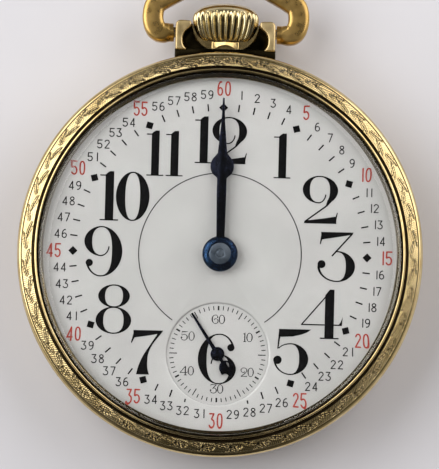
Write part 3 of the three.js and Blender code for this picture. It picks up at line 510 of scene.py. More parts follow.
def lathe(name, profile, sides, at=(0.0, 0.0), closed=True, shape=None):
    """A profile of (radius, height) turned about a vertical axis. shape() may move the rings' points."""
    turns = np.arange(sides) * 2 * math.pi / sides
    radii = np.array([p[0] for p in profile])
    heights = np.array([p[1] for p in profile])
    radius = np.repeat(radii[:, None], sides, axis=1)
    height = np.repeat(heights[:, None], sides, axis=1)
    if shape is not None:
        radius, height = shape(radius, height, turns[None, :])
    grid = np.stack([at[0] + radius * np.cos(turns), at[1] + radius * np.sin(turns), height], axis=2)
    points, rings = [], []
    for ring, r in zip(grid, radii):
        distinct = 1 if r < 1e-6 else sides
        rings.append([len(points) + i % distinct for i in range(sides)])
        points.extend(ring[:distinct])
    faces = []
    upper = rings[1:] + rings[:1] if closed else rings[1:]
    for low, high in zip(rings, upper):
        for i in range(sides):
            k = (i + 1) % sides
            corner = dict.fromkeys((low[i], low[k], high[k], high[i]))
            if len(corner) > 2:
                faces.append(list(corner))
    return mesh_from(name, points, faces)


def spun(name, corners, sides, radius=0.08, steps=4, at=(0.0, 0.0)):
    """A lathed solid whose outline starts and ends on its axis and has rounded corners."""
    return lathe(name, rounded(corners, radius, steps, closed=False), sides, at, closed=False)


def rod(radius, low, high, sides, at=(0.0, 0.0)):
    """An upright cylinder that cuts or leaves room."""
    return lathe("rod", [(0, low), (radius, low), (radius, high), (0, high)], sides, at, closed=False)


def turned_about_stem(name, profile, sides, shape=None):
    """A lathed solid about the stem's axis: the profile's heights run along +Y."""
    mesh = lathe(name, profile, sides, closed=False, shape=shape)
    mesh.transform(Matrix(((1, 0, 0, 0), (0, 0, 1, 0), (0, -1, 0, STEM_Z), (0, 0, 0, 1))))
    return mesh


def circle(r, sides, at=(0.0, 0.0)):
    turns = [2 * math.pi * i / sides for i in range(sides)]
    return [(at[0] + r * math.cos(turn), at[1] + r * math.sin(turn)) for turn in turns]


def smooth_path(points, steps):
    """A Catmull-Rom curve through the points."""
    knots = [Vector(p) for p in points]
    knots = [knots[0] * 2 - knots[1], *knots, knots[-1] * 2 - knots[-2]]
    made = []
    for a, b, c, d in zip(knots, knots[1:], knots[2:], knots[3:]):
        for k in range(steps):
            t = k / steps
            made.append(0.5 * (2 * b + (c - a) * t + (2 * a - 5 * b + 4 * c - d) * t * t
                               + (3 * b - a - 3 * c + d) * t ** 3))
    return [*made, knots[-2]]


# ------------------ flat shapes

def union(polygons):
    """Points and triangles of the area that simple polygons cover together, and its rim."""
    points, faces = [], []
    for polygon in polygons:
        area = sum(a[0] * b[1] - b[0] * a[1] for a, b in zip(polygon, [*polygon[1:], polygon[0]]))
        ordered = polygon if area > 0 else list(reversed(polygon))
        faces.append(list(range(len(points), len(points) + len(ordered))))
        points.extend(Vector((p[0], p[1])) for p in ordered)
    made, _, triangles, _, _, sources = delaunay_2d_cdt(points, [], faces, 0, 1e-6)
    kept = [tuple(t) for t, source in zip(triangles, sources) if source]
    used = {}
    for triangle in kept:
        for a, b in zip(triangle, (*triangle[1:], triangle[0])):
            if used.pop((b, a), None) is None:
                used[(a, b)] = True
    return made, kept, list(used)


class Print:
    """Collects flat shapes of one thickness into one mesh."""

    def __init__(self, low, high):
        self.low, self.high = low, high
        self.points, self.faces = [], []

    def stamp(self, shape, place=(0.0, 0.0), scale=(1.0, 1.0), turn=0.0):
        flat, triangles, rim = shape
        c, s = math.cos(math.radians(turn)), math.sin(math.radians(turn))
        base, count = len(self.points), len(flat)
        for height in (self.high, self.low):
            for p in flat:
                x, y = p[0] * scale[0], p[1] * scale[1]
                self.points.append((place[0] + x * c - y * s, place[1] + x * s + y * c, height))
        self.faces += [(base + a, base + b, base + d) for a, b, d in triangles]
        self.faces += [(base + count + d, base + count + b, base + count + a) for a, b, d in triangles]
        self.faces += [(base + b, base + a, base + count + a, base + count + b) for a, b in rim]

    def mesh(self, name):
        def drop_loose(bm):
            loose = [v for v in bm.verts if not v.link_faces]
            bmesh.ops.delete(bm, geom=loose, context="VERTS")

        return edited(mesh_from(name, self.points, self.faces), drop_loose)


def slab(name, polygons, low, high, bevel=0.0, segments=2):
    """The area of some polygons, given a thickness and rounded edges."""
    page = Print(low, high)
    page.stamp(union(polygons))
    mesh = page.mesh(name)
    return bevelled(mesh, bevel, segments) if bevel else mesh


def mirrored(half):
    """An outline closed by its own mirror image about x = 0."""
    return [*half, *((-x, y) for x, y in reversed(half))]


def oval(cx, cy, a, b, start, end, power=2.0, steps=20):
    """Points along an oval, from one angle to another. A power above 2 squares its shoulders."""
    made = []
    for k in range(steps + 1):
        t = math.radians(start + (end - start) * k / steps)
        c, s = math.cos(t), math.sin(t)
        made.append((cx + a * math.copysign(abs(c) ** (2 / power), c),
                     cy + b * math.copysign(abs(s) ** (2 / power), s)))
    return made


def crescent(cx, cy, a, b, thick, thin, start, end, squareness=2.4):
    """The band between an oval and a narrower one inside it: thick at its side, thin above and below."""
    outer = oval(cx, cy, a, b, start, end, 1.95)
    inner = oval(cx, cy, a - thick, b - thin, end, start, squareness)
    return outer + inner


def bowl(cx, cy, a, b, thick, thin):
    """A closed oval stroke, as two crescents."""
    return [crescent(cx, cy, a, b, thick, thin, 90, 270), crescent(cx, cy, a, b, thick, thin, -90, 90)]


def line(start, end, width):
    """A straight bar from one point to another."""
    a, b = Vector(start), Vector(end)
    side = (b - a).orthogonal().normalized() * (width / 2)
    return [tuple(a + side), tuple(b + side), tuple(b - side), tuple(a - side)]


def ball(x, y, r):
    return circle(r, 20, (x, y))


# ------------------ numerals

def modern(weight=1.0, hair=0.026):
    """High-contrast numerals, one unit high: {digit: (shape, width)}. Weight scales thick strokes."""
    w, h = weight, hair
    stem = 0.172 * w
    digits = {}
    digits[0] = (bowl(0.34, 0.5, 0.34, 0.5, 0.19 * w, h), 0.68)
    digits[1] = ([
        [(0.1, 0.0), (0.1 + stem, 0.0), (0.1 + stem, 1.0), (0.1 + stem * 0.5, 1.0),
         (0.1 + stem * 0.2, 0.965), (0.1, 0.93)],
        [(-0.01, 0.93 - h), (0.12, 0.93 - h), (0.12, 0.93), (-0.01, 0.93)],
        [(0.0, 0.0), (0.2 + stem, 0.0), (0.2 + stem, h), (0.0, h)],
    ], 0.2 + stem)
    left, right = 0.15 * w, 0.17 * w
    digits[2] = ([
        crescent(0.35, 0.71, 0.35, 0.29, left, h, 90, 270),
        crescent(0.33, 0.61, 0.165, 0.19, h, h, -90, 0, 2.0),
        oval(0.35, 0.69, 0.39, 0.31, 90, -48, 1.95)
        + [(0.52, 0.36), (0.49, 0.38)] + oval(0.35, 0.69, 0.39 - right, 0.31 - h, -42, 90, 2.4),
        line((0.53, 0.39), (0.05, 0.03), h * 1.2),
        [(0.03, 0.0), (0.72, 0.0), (0.712, 0.155 * w), (0.42, 0.105 * w), (0.09, 0.06)],
        [(0.69, 0.08), (0.718, 0.08), (0.745, 0.235), (0.728, 0.235), (0.70, 0.15)],
    ], 0.745)
    digits[3] = ([
        [(0.065, 1.0), (0.722, 1.0), (0.66, 1 - 0.05 * w), (0.36, 1 - 0.105 * w),
         (0.075, 1 - 0.155 * w)],
        [(0.065, 0.93), (0.095, 0.87), (0.062, 0.75), (0.044, 0.755)],
        line((0.70, 0.985), (0.292, 0.519), h * 1.2),
        crescent(0.40, 0.312, 0.36, 0.312, 0.185 * w, h, -90, 90),
        crescent(0.40, 0.312, 0.36, 0.312, h, h, 88, 98, 2.0),
        crescent(0.40, 0.312, 0.395, 0.312, 0.05, h, 178, 272, 2.0),
        ball(0.088, 0.353, 0.08),
    ], 0.76)
    post = 0.185 * w
    digits[4] = ([
        [(0.66 - post, 0.0), (0.66, 0.0), (0.66, 1.0), (0.66 - post * 0.5, 1.0), (0.66 - post, 0.885)],
        line((0.60, 0.985), (0.012, 0.285), h),
        [(0.0, 0.27), (0.80, 0.27), (0.80, 0.27 + h), (0.0, 0.27 + h)],
        [(0.745, 0.27), (0.825, 0.27), (0.838, 0.45), (0.80, 0.35)],
        [(0.57 - post, 0.0), (0.765, 0.0), (0.765, h), (0.57 - post, h)],
    ], 0.84)
    digits[5] = ([
        [(0.108, 1.0), (0.81, 1.0), (0.72, 1 - 0.065 * w), (0.597, 1 - 0.115 * w),
         (0.412, 1 - 0.16 * w), (0.111, 1 - 0.175 * w)],
        [(0.108, 0.95), (0.14, 0.83), (0.108, 0.59), (0.078, 0.555)],
        crescent(0.37, 0.347, 0.39, 0.347, 0.2 * w, h, -90, 90),
        crescent(0.37, 0.50, 0.30, 0.194, h, h, 90, 156, 2.0),
        crescent(0.37, 0.347, 0.37, 0.347, 0.045, h, 180, 272, 2.0),
        ball(0.09, 0.324, 0.092),
    ], 0.81)
    digits[7] = ([
        [(0.05, 1.0), (0.73, 1.0), (0.62, 1 - 0.075 * w), (0.30, 1 - 0.135 * w), (0.058, 1 - 0.173 * w)],
        [(0.05, 0.92), (0.085, 0.84), (0.02, 0.705), (0.0, 0.715)],
        smooth_path([(0.60, 0.93), (0.45, 0.697), (0.283, 0.43), (0.183, 0.197), (0.133, 0.0)], 5)
        + smooth_path([(0.425, 0.0), (0.387, 0.147), (0.38, 0.297), (0.40, 0.48), (0.50, 0.697),
                       (0.72, 0.985)], 5),
    ], 0.73)
    digits[8] = (bowl(0.36, 0.766, 0.32, 0.234, 0.14 * w, h)
                 + bowl(0.36, 0.275, 0.36, 0.275, 0.155 * w, h), 0.72)
    nine = [
        crescent(0.35, 0.70, 0.35, 0.30, 0.155 * w, h, 90, 270),
        crescent(0.32, 0.60, 0.18, 0.20, h, h, -92, 0, 2.0),
        crescent(0.33, 0.5, 0.425, 0.5, 0.205 * w, h, -90, 90, 2.5),
        crescent(0.33, 0.35, 0.30, 0.35, 0.045, h, 190, 272, 2.0),
        ball(0.108, 0.272, 0.072),
    ]
    digits[9] = (nine, 0.755)
    digits[6] = ([[(0.755 - x, 1.0 - y) for x, y in polygon] for polygon in nine], 0.755)
    return {digit: (union(polygons), width) for digit, (polygons, width) in digits.items()}


def pen(points, width):
    """A pen line of even width with round joints, as polygons."""
    made = [line(a, b, width) for a, b in zip(points, points[1:])]
    return made + [circle(width / 2, 10, p) for p in points]


def plain(width, stroke, one):
    """Even-stroked numerals one unit high, as modern() gives them. A 1 takes its own width."""
    inset = stroke / 2
    a, top = width / 2 - inset, 1 - inset
    paths = {
        0: [oval(0.5 * width, 0.5, a, 0.5 - inset, 0, 360, 2.5)],
        1: [[(0.5 * width, inset), (0.5 * width, top)]],
        2: [[*oval(0.5 * width, 0.72, a, 0.28 - inset, 165, -25, 2.0, 12),
             (inset, inset), (width - inset, inset)]],
        3: [[(inset, top), (0.92 * width - inset, top), (0.45 * width, 0.6),
             *oval(0.45 * width, 0.3, 0.55 * width - inset, 0.3 - inset, 80, -150, 2.0, 12)]],
        4: [[(0.72 * width, inset), (0.72 * width, top), (inset, 0.28), (width - inset, 0.28)]],
        5: [[(0.9 * width, top), (0.16 * width, top), (0.1 * width, 0.55),
             *oval(0.46 * width, 0.32, 0.54 * width - inset, 0.32 - inset, 130, -150, 2.0, 12)]],
        6: [oval(0.62 * width, 0.42, 0.62 * width - inset, 0.58 - inset, 80, 180, 2.0, 8),
            oval(0.5 * width, 0.31, a, 0.31 - inset, 0, 360, 2.0, 16)],
        7: [[(inset, top), (width - inset, top), (0.35 * width, inset)]],
        8: [oval(0.5 * width, 0.77, a * 0.86, 0.23 - inset, 0, 360, 2.0, 14),
            oval(0.5 * width, 0.285, a, 0.285 - inset, 0, 360, 2.0, 16)],
    }
    paths[9] = [[(width - x, 1 - y) for x, y in path] for path in paths[6]]
    font = {}
    for digit, lines in paths.items():
        shape = union([polygon for path in lines for polygon in pen(path, stroke)])
        font[digit] = (shape, one if digit == 1 else width)
    return font


def number(page, font, value, centre, height, gap):
    """Stamps a number upright about its centre."""
    digits = [font[int(digit)] for digit in str(value)]
    total = sum(width for shape, width in digits) + gap * (len(digits) - 1)
    x = centre[0] - total * height / 2
    for shape, width in digits:
        page.stamp(shape, (x, centre[1] - height / 2), (height, height))
        x += (width + gap) * height


def around(r, turns, centre=(0.0, 0.0)):
    """A place at radius r, a fraction of a turn clockwise from 12."""
    a = 2 * math.pi * turns
    return (centre[0] + r * math.sin(a), centre[1] + r * math.cos(a))


# ------------------ dial

HOUR_HEIGHT = {1: 5.6, 2: 5.95, 3: 6.2, 4: 6.15, 5: 5.7, 7: 5.5, 9: 6.3, 11: 5.65, 12: 5.85}
HOUR_GAP = {10: -0.056, 11: 0.053, 12: -0.013}    # between an hour's two digits, in heights
HOUR_R = {1: 14.5, 2: 14.2, 3: 14.45, 4: 14.7, 5: 15.1, 7: 15.2, 8: 14.85, 9: 14.5, 10: 13.85,
          11: 14.3, 12: 14.2}
HOUR_SHIFT = {1: 1.0, 4: -1.0, 5: -7.8, 7: 5.2, 8: 1.2, 12: -0.8}   # clockwise of the hour's place
TRACK = {"inner": 17.85, "outer": 18.75, "width": 0.17}
DIAMOND = {"r": 18.27, "half": 0.57}
INK = 0.022             # how far the printing stands up
BAR = union([[(-0.5, -0.5), (0.5, -0.5), (0.5, 0.5), (-0.5, 0.5)]])


def dial():
    """The enamel plate with its sunk seconds dial, which lies in an opening with a soft edge."""
    plate = spun("dial_plate", [
        (0, DIAL_LOW, 0), (DIAL_R, DIAL_LOW), (DIAL_R, DIAL_TOP, 0.2), (0, DIAL_TOP, 0)], 240)
    sink = lathe("sink", [
        (0, 8), (SUNK_R + 0.05, 8), (SUNK_R + 0.05, DIAL_TOP - 0.2), (SUNK_R + 0.10, DIAL_TOP - 0.10),
        (SUNK_R + 0.20, DIAL_TOP - 0.035), (SUNK_R + 0.36, DIAL_TOP + 0.01), (SUNK_R + 0.36, 12),
        (0, 12)], 200, SECONDS_AT, closed=False)
    plate = combined(plate, "DIFFERENCE", sink, rod(1.35, 8, 12, 48))
    link_piece("dial_plate", plate, "case", ENAMEL, ["dial"])
    sunk = spun("sunk_seconds_plate", [
        (0, SUNK_LOW, 0), (SUNK_R + 0.04, SUNK_LOW), (SUNK_R + 0.04, SUNK_TOP, 0.02),
        (0, SUNK_TOP, 0)], 160, at=SECONDS_AT)
    sunk = combined(sunk, "DIFFERENCE", rod(0.32, 8, 12, 24, SECONDS_AT))
    link_piece("sunk_seconds_plate", sunk, "case", ENAMEL, ["seconds_dial"])


def dial_page(surface=DIAL_TOP):
    """An empty print on a surface of the dial. It reaches into the enamel so that no gap shows."""
    return Print(surface - 0.01, surface + INK)


def printed(name, page, material):
    link_piece(name, page.mesh(name), "case", material)


def hour_numerals():
    font = modern()
    page = dial_page()
    for hour, r in HOUR_R.items():
        place = around(r, (hour * 30 + HOUR_SHIFT.get(hour, 0.0)) / 360)
        number(page, font, hour, place, HOUR_HEIGHT.get(hour, 6.15), HOUR_GAP.get(hour, 0.0))
    printed("hour_numerals", page, BLACK_INK)


def minute_track():
    """A bar for every minute and a diamond for every fifth, with short bars beside the seconds dial."""
    page = dial_page()
    diamond = union([[(0, -1), (1, 0), (0, 1), (-1, 0)]])
    for minute in range(60):
        turn = minute / 60
        if 28 <= minute <= 32:
            continue
        if minute % 5 == 0:
            half = DIAMOND["half"]
            page.stamp(diamond, around(DIAMOND["r"], turn), (half, half), -360 * turn)
        else:
            size = (TRACK["width"], TRACK["outer"] - TRACK["inner"])
            r = (TRACK["inner"] + TRACK["outer"]) / 2
            page.stamp(BAR, around(r, turn), size, -360 * turn)
    for minute in (28, 32):
        place = around(TRACK["outer"] - 0.08, minute / 60)
        page.stamp(BAR, place, (TRACK["width"], 0.42), -6 * minute)
    printed("minute_track", page, BLACK_INK)


def minute_numerals():
    """Small grey numbers for the minutes, and taller red ones for every fifth."""
    small = plain(0.58, 0.115, 0.3)
    page = dial_page()
    for minute in range(1, 60):
        if minute % 5:
            number(page, small, minute, around(19.95, minute / 60), height=1.12, gap=0.22)
    printed("minute_numerals", page, GREY_INK)

    narrow = plain(0.42, 0.105, 0.26)
    fives = dial_page()
    for minute in range(5, 61, 5):
        number(fives, narrow, minute, around(20.62, minute / 60), height=1.77, gap=0.12)
    printed("five_minute_numerals", fives, RED_INK)


def centre_circle():
    """A fine ring round the middle, open where the seconds dial stands."""
    r, half_line, gap = 10.1, 0.06, 34.5
    ring = dial_page()
    outer = oval(0, 0, r + half_line, r + half_line, gap - 90, 270 - gap, 2.0, 160)
    inner = oval(0, 0, r - half_line, r - half_line, 270 - gap, gap - 90, 2.0, 160)
    ring.stamp(union([outer + inner]))
    printed("centre_circle", ring, GREY_INK)


def seconds_print():
    """The big 6, the seconds' bars and the small numbers on the sunk dial."""
    six = dial_page(SUNK_TOP)
    place = SECONDS_AT - Vector((0.05, 0.6))
    number(six, modern(0.85, 0.024), 6, place, height=6.3, gap=0.0)
    printed("numeral_six", six, BLACK_INK)
    fine = dial_page(SUNK_TOP)
    for second in range(60):
        turn = second / 60
        length, width = 0.50, 0.10
        if second % 5 == 0:
            length, width = (0.55, 0.20) if second % 10 == 0 else (0.95, 0.11)
        place = around(5.98 - length / 2, turn, SECONDS_AT)
        fine.stamp(BAR, place, (width, length), -360 * turn)
    light = modern(0.62, 0.07)
    for second in range(10, 61, 10):
        place = around(4.32, second / 60, SECONDS_AT)
        number(fine, light, second, place, height=1.14, gap=0.02)
    printed("seconds_track", fine, GREY_INK)


# ------------------ case

def engraving(u, turn):
    """Depth of the leaf scroll, 0 to 1, over the band's width u and the turn round the bezel.

    A wavy stem runs round the band. Each half wave holds a pointed leaf with veins, and the ground
    behind is hatched.
    """
    phase = turn * SCROLLS / (2 * math.pi)
    s = phase % 1.0
    wave = 0.5 + 0.24 * np.sin(2 * math.pi * phase)
    depth = 0.45 * np.exp(-((u - wave) / 0.04) ** 2)
    for centre, side in ((0.25, -1.0), (0.75, 1.0)):
        along = (s - centre) * 3.0
        across = u - (0.5 + side * 0.20)
        across = across + side * 0.25 * along
        reach = 1.0 - (along / 1.15) ** 2
        body = 0.19 * np.clip(reach, 0.0, 1.0)
        edge = np.exp(-((np.abs(across) - body) / 0.045) ** 2) * (reach > 0)
        inside = (np.abs(across) < body) & (reach > 0)
        rib = np.exp(-(across / 0.04) ** 2)
        veins = np.clip(np.sin(2 * math.pi * (along * 2.2 + np.abs(across) * 5.0)), 0.0, 1.0) ** 2
        depth = np.maximum(depth, 0.95 * edge)
        depth = np.where(inside, np.maximum(rib, 0.6 * veins), depth)
    hatch = np.clip(np.sin(2 * math.pi * (phase * 13.0 + u * 3.2)), 0.0, 1.0)
    ground = np.clip(1.0 - depth * 3.0, 0.0, 1.0)
    border = np.clip(np.minimum(u, 1.0 - u) / 0.07, 0.0, 1.0)
    return (depth + ground * 0.5 * hatch) * border


def bezel():
    """A bright ring beside the crystal, a groove darkened with painted shade, the engraved band and a
    rounded lip.
    """
    wall = rounded([
        (21.78, 10.24), (21.78, 11.2, 0.25), (22.46, 11.48, 0.1), (22.52, 11.6, 0.05),
        (RING_R, BEZEL_TOP - 0.04, 0.06), (RING_R + 0.12, BEZEL_TOP, 0.05),
        (RING_R + 0.28, BEZEL_TOP - 0.08, 0.08), (RING_R + 0.33, 11.25, 0.1),
        (ENGRAVED[0] - 0.12, 11.2, 0.08), (ENGRAVED[0] - 0.02, 11.76, 0.1)], closed=False)
    rows = 22
    across = [k / rows for k in range(rows + 1)]
    width = ENGRAVED[1] - ENGRAVED[0]
    engraved = [Vector((ENGRAVED[0] + width * u, BAND_TOP - BAND_FALL * u ** 1.6)) for u in across]
    outside = rounded([
        (ENGRAVED[1] + 0.04, 11.33, 0.02), (24.82, 11.33, 0.12), (25.06, 11.15, 0.15),
        (CASE_R, 10.75, 0.25), (24.95, 9.95, 0.3), (24.6, 9.79, 0.1), (23.28, 9.79), (23.28, 10.24)],
        0.06, closed=False)

    def carve(radius, height, turns):
        for row, u in enumerate(across, len(wall)):
            height[row] -= ENGRAVING_DEPTH * engraving(u, turns[0])
        return radius, height

    ring = lathe("bezel_ring", wall + engraved + outside, 2208, shape=carve)
    link_piece("bezel_ring", ring, "bezel", BEZEL_GOLD, ["bezel"], sharp=50.0)


def crystal():
    """A shallow dome of even thickness with a ground edge."""
    top, edge = box("crystal")[1].z, box("crystal")[1].x - 0.04
    inner = [(r, top - 0.9 - 0.8 * (r / 21.95) ** 2, 0) for r in np.linspace(0, 21.95, 24)]
    outer = [(r, top - 0.7 * (r / 21.0) ** 2, 0) for r in np.linspace(21.4, 0, 24)]
    rim = [(edge, 11.5, 0.1), (edge, top - 1.15, 0.1), (22.0, top - 0.86, 0.3)]
    dome = spun("crystal_dome", inner + rim + outer, 288, steps=5)
    link_piece("crystal_dome", dome, "bezel", GLASS, ["crystal"])


def band():
    """The case's middle: a swelling outside, and seats for the bezel and the back cover inside."""
    profile = rounded([
        (20.9, 6.8), (21.75, 6.8), (21.75, 9.35), (22.15, 9.35), (22.15, 10.2), (23.2, 10.2),
        (23.2, 9.75), (24.6, 9.75, 0.25), (25.0, 8.2, 1.2), (25.15, 6.1, 1.5), (25.0, 4.1, 1.2),
        (24.6, 2.55, 0.25), (23.2, 2.55), (23.2, 2.0), (22.0, 2.0), (22.0, 5.5), (20.9, 5.5)], steps=5)
    ring = lathe("case_band", profile, 360)
    ring = combined(ring, "DIFFERENCE", stem_bore(1.8, 26.5))
    link_piece("case_band", ring, "case", GOLD, ["case_center"])


def back():
    """The back cover: a flat middle that rises to a screwed edge."""
    shell = spun("back_cover_shell", [
        (0, 0, 0), (12.5, 0, 3.0), (17.5, 0.28, 2.0), (21.6, 0.95, 1.5), (23.6, 1.55, 0.2),
        (23.75, 1.5, 0.1), (24.5, 1.95, 0.2), (24.6, 2.3, 0.12), (24.5, 2.51, 0.05), (23.28, 2.51),
        (23.28, 1.9), (17.5, 0.95, 1.0), (11.5, 0.65, 2.0), (0, 0.65, 0)], 360, steps=6)
    link_piece("back_cover_shell", shell, "back_cover", GOLD, ["back_cover"])


def bow_axis(sign=1):
    """From the Z axis to the axis of the bow's pins."""
    return Matrix.Translation((0, PIVOT_Y, STEM_Z)) @ Matrix.Rotation(sign * math.pi / 2, 4, "Y")


def stem_bore(radius, high, sides=40):
    """A hole for the stem, from inside the case up to a place on the pendant."""
    return turned_about_stem("bore", [(0, 20.0), (radius, 20.0), (radius, high), (0, high)], sides)


def pendant_room():
    """What every part of the pendant leaves free: the band, the stem and the bow's pins."""
    pins = rod(PIN_R, -8, 8, 32)
    pins.transform(bow_axis())
    return rod(CASE_R - 0.06, -1, 14, 360), stem_bore(1.8, 27.5), pins


def pendant_ears():
    """Two ears that hold the bow's pins, rising from a step on the band."""
    low, high = STEM_Z - PENDANT_HALF, STEM_Z + PENDANT_HALF
    thin = EAR_X - 0.95
    right = rounded([
        (EAR_X - 0.05, STEP_Y, 0), (EAR_X - 0.05, EAR_TOP, 0.8), (EAR_X - 1.95, EAR_TOP - 0.1, 0.3),
        (EAR_X - 2.05, EAR_TOP - 0.7, 0.3), (thin, EAR_TOP - 1.7, 0.7), (thin, 26.3, 0.5),
        (thin - 0.55, STEP_Y, 0)], steps=5)
    left = [(-x, y) for x, y in right]
    ears = slab("ears", [right, left], low, high, bevel=0.46, segments=6)
    ears = combined(ears, "DIFFERENCE", *pendant_room())
    link_piece("pendant_ears", ears, "case", GOLD_BRUSHED, ["pendant"], sharp=40.0)


def pendant_recess():
    """The wall between the ears, hollowed for the crown, in near-black gold: painted shade."""
    reach = PENDANT_HALF - 0.3
    top = STEP_Y + 0.2
    strip = slab("strip", [[(-EAR_X, 24.4), (EAR_X, 24.4), (EAR_X, top), (-EAR_X, top)]],
                 STEM_Z - reach, STEM_Z + reach, bevel=0.12)
    corner = [(5.4, STEP_Y), (5.4, 27.6), (4.75, 28.75)]
    web = slab("web", [mirrored(corner)], STEM_Z - 1.85, STEM_Z + 1.85, bevel=0.3)
    crown_room = turned_about_stem("crown_room", [
        (0, 26.8), (3.3, 26.8), (3.75, 27.2), (4.2, 27.9), (4.5, 29.0), (4.5, 30), (0, 30)], 96)
    recess = combined(strip, "UNION", web)
    recess = combined(recess, "DIFFERENCE", crown_room, *pendant_room())
    link_piece("pendant_recess", recess, "case", SHADE_GOLD, sharp=40.0)


def pendant_cup():
    """A cup under the crown, with a pointed rib and a small arched notch in front."""
    reach = PENDANT_HALF - 0.9
    cup = turned_about_stem("cup", rounded([
        (0, 25.5, 0), (2.6, 25.5, 0.4), (3.75, 26.35, 0.5), (4.45, 27.5, 0.8), (4.82, 28.95, 0.06),
        (4.68, 29.0, 0.06), (4.32, 27.8, 0.8), (3.8, 27.1, 0.4), (3.35, 26.82, 0.2), (0, 26.82, 0)],
        closed=False, steps=5), 96)
    window = [(-5.2, 25), (5.2, 25), (5.2, 29.1), (-5.2, 29.1)]
    cup = combined(cup, "INTERSECT", slab("window", [window], STEM_Z - reach, STEM_Z + reach))
    face = PENDANT_HALF
    side = [(1.75, 1.0), (1.7, face - 0.86), (1.1, face - 0.8), (0.55, face - 0.62)]
    outline = [*side, (0, face - 0.32), *((-x, z) for x, z in reversed(side))]
    prow = slab("prow", [outline], -26.8, -STEP_Y, bevel=0.1)
    prow.transform(Matrix.Translation((0, 0, STEM_Z)) @ Matrix.Rotation(math.pi / 2, 4, "X"))
    arch = oval(0, 25.3, 1.55, 1.05, 0, 180)
    notch = slab("notch", [[(-1.55, 25.0), (1.55, 25.0), *arch]], STEM_Z + 1.95, STEM_Z + face + 1)
    cup = combined(combined(cup, "UNION", prow), "DIFFERENCE", notch, *pendant_room())
    link_piece("pendant_cup", cup, "case", GOLD, sharp=20.0)


def crown():
    """An onion crown: flutes that fade out towards its smooth, low dome."""
    flute_depth, base_r, smooth_y = 0.5, 2.7, 30.5
    side = smooth_path([
        (3.05, CROWN_LOW), (3.42, 27.3), (3.75, 28.0), (4.02, 28.9), (4.15, 29.7), (4.09, 30.2),
        (3.85, 30.65), (3.4, 31.05), (2.5, 31.45), (1.3, 31.68)], 6)
    profile = [(0, CROWN_LOW), (base_r, CROWN_LOW), *side, (0, CROWN_TOP - 0.25)]

    def flute(radius, height, turns):
        valley = 0.5 - 0.5 * np.cos(turns * FLUTES)
        rise = np.clip((height - CROWN_LOW + 0.1) / 0.7, 0, 1)
        fade = np.clip((smooth_y - height) / 1.3, 0, 1)
        cut = flute_depth * np.sqrt(rise * fade) * valley ** 1.2
        return radius - cut * (radius > base_r - 0.1), height

    shell = turned_about_stem("crown_shell", profile, FLUTES * 20, shape=flute)
    shell = combined(shell, "DIFFERENCE", stem_bore(0.8, 29.2, 24))
    link_piece("crown_shell", shell, "crown", CROWN_GOLD, ["crown"], sharp=60.0)


def bow_section(place):
    """The bow's cross-section: round in the necks at the ears, then wider and nearly square."""
    flat = 1.0
    if place.y < 29.3:
        flat = min(max((abs(place.x) - 7.0) / 1.2, 0.0), 1.0)
    return oval(0, 0, 1.15 + 0.17 * flat, 1.2, 0, 360, 2.0 + 3.4 * flat, BOW_SIDES)[:-1]


def bow():
    """A stirrup that hangs on two pins between the pendant's ears."""
    right = [(6.45, 28.02), (7.2, 28.0), (8.0, 28.0), (8.72, 28.4), (9.1, 29.3), (9.16, 30.35),
             (8.9, 31.4), (8.1, 32.12), (5.6, 33.55), (3.2, 34.85), (1.6, 35.38)]
    left = [(-x, y) for x, y in right]
    path = smooth_path([*left, (0, 35.55), *reversed(right)], 10)
    last = len(path) - 1
    points = []
    for i, place in enumerate(path):
        ahead = path[min(i + 1, last)] - path[max(i - 1, 0)]
        across = Vector((-ahead.y, ahead.x)).normalized()
        if i in (0, last):
            across = Vector((0, 1 if i == 0 else -1))
        for x, z in bow_section(place):
            edge = place + across * x
            points.append((edge.x, edge.y, STEM_Z + z))
    rings = [range(i * BOW_SIDES, (i + 1) * BOW_SIDES) for i in range(last + 1)]
    faces = [tuple(rings[0]), tuple(rings[-1])]
    for near, far in zip(rings, rings[1:]):
        for k in range(BOW_SIDES):
            faces.append((near[k - 1], near[k], far[k], far[k - 1]))
    mesh = mesh_from("bow_ring", points, faces)
    for sign in (-1, 1):
        pin = rod(PIN_R, 6.0, 8.0, 24)
        pin.transform(bow_axis(sign))
        mesh = combined(mesh, "DIFFERENCE", pin)
    link_piece("bow_ring", mesh, "bow", GOLD_SATIN, ["bow"], sharp=60.0)


# ------------------ hands

def hour_hand():
    """A straight blade that ends in a spade and a fine tip."""
    low, high = box("hour_hand")
    spade = smooth_path([(0.33, 9.0), (0.62, 9.45), (1.2, 10.0), (1.45, 10.75), (1.3, 11.6),
                         (0.75, 12.35), (0.3, 13.0), (0.1, high.y)], 6)
    right = [(0.42, 0), (0.5, 7.6), *spade]
    blade = slab("hour_blade", [mirrored(right), circle(2.2, 64)], low.z, low.z + 0.2, bevel=0.05)
    blade = combined(blade, "DIFFERENCE", rod(1.0, 8, 13, 40))
    link_piece("hour_blade", blade, "hour", HANDS, ["hour_hand"])


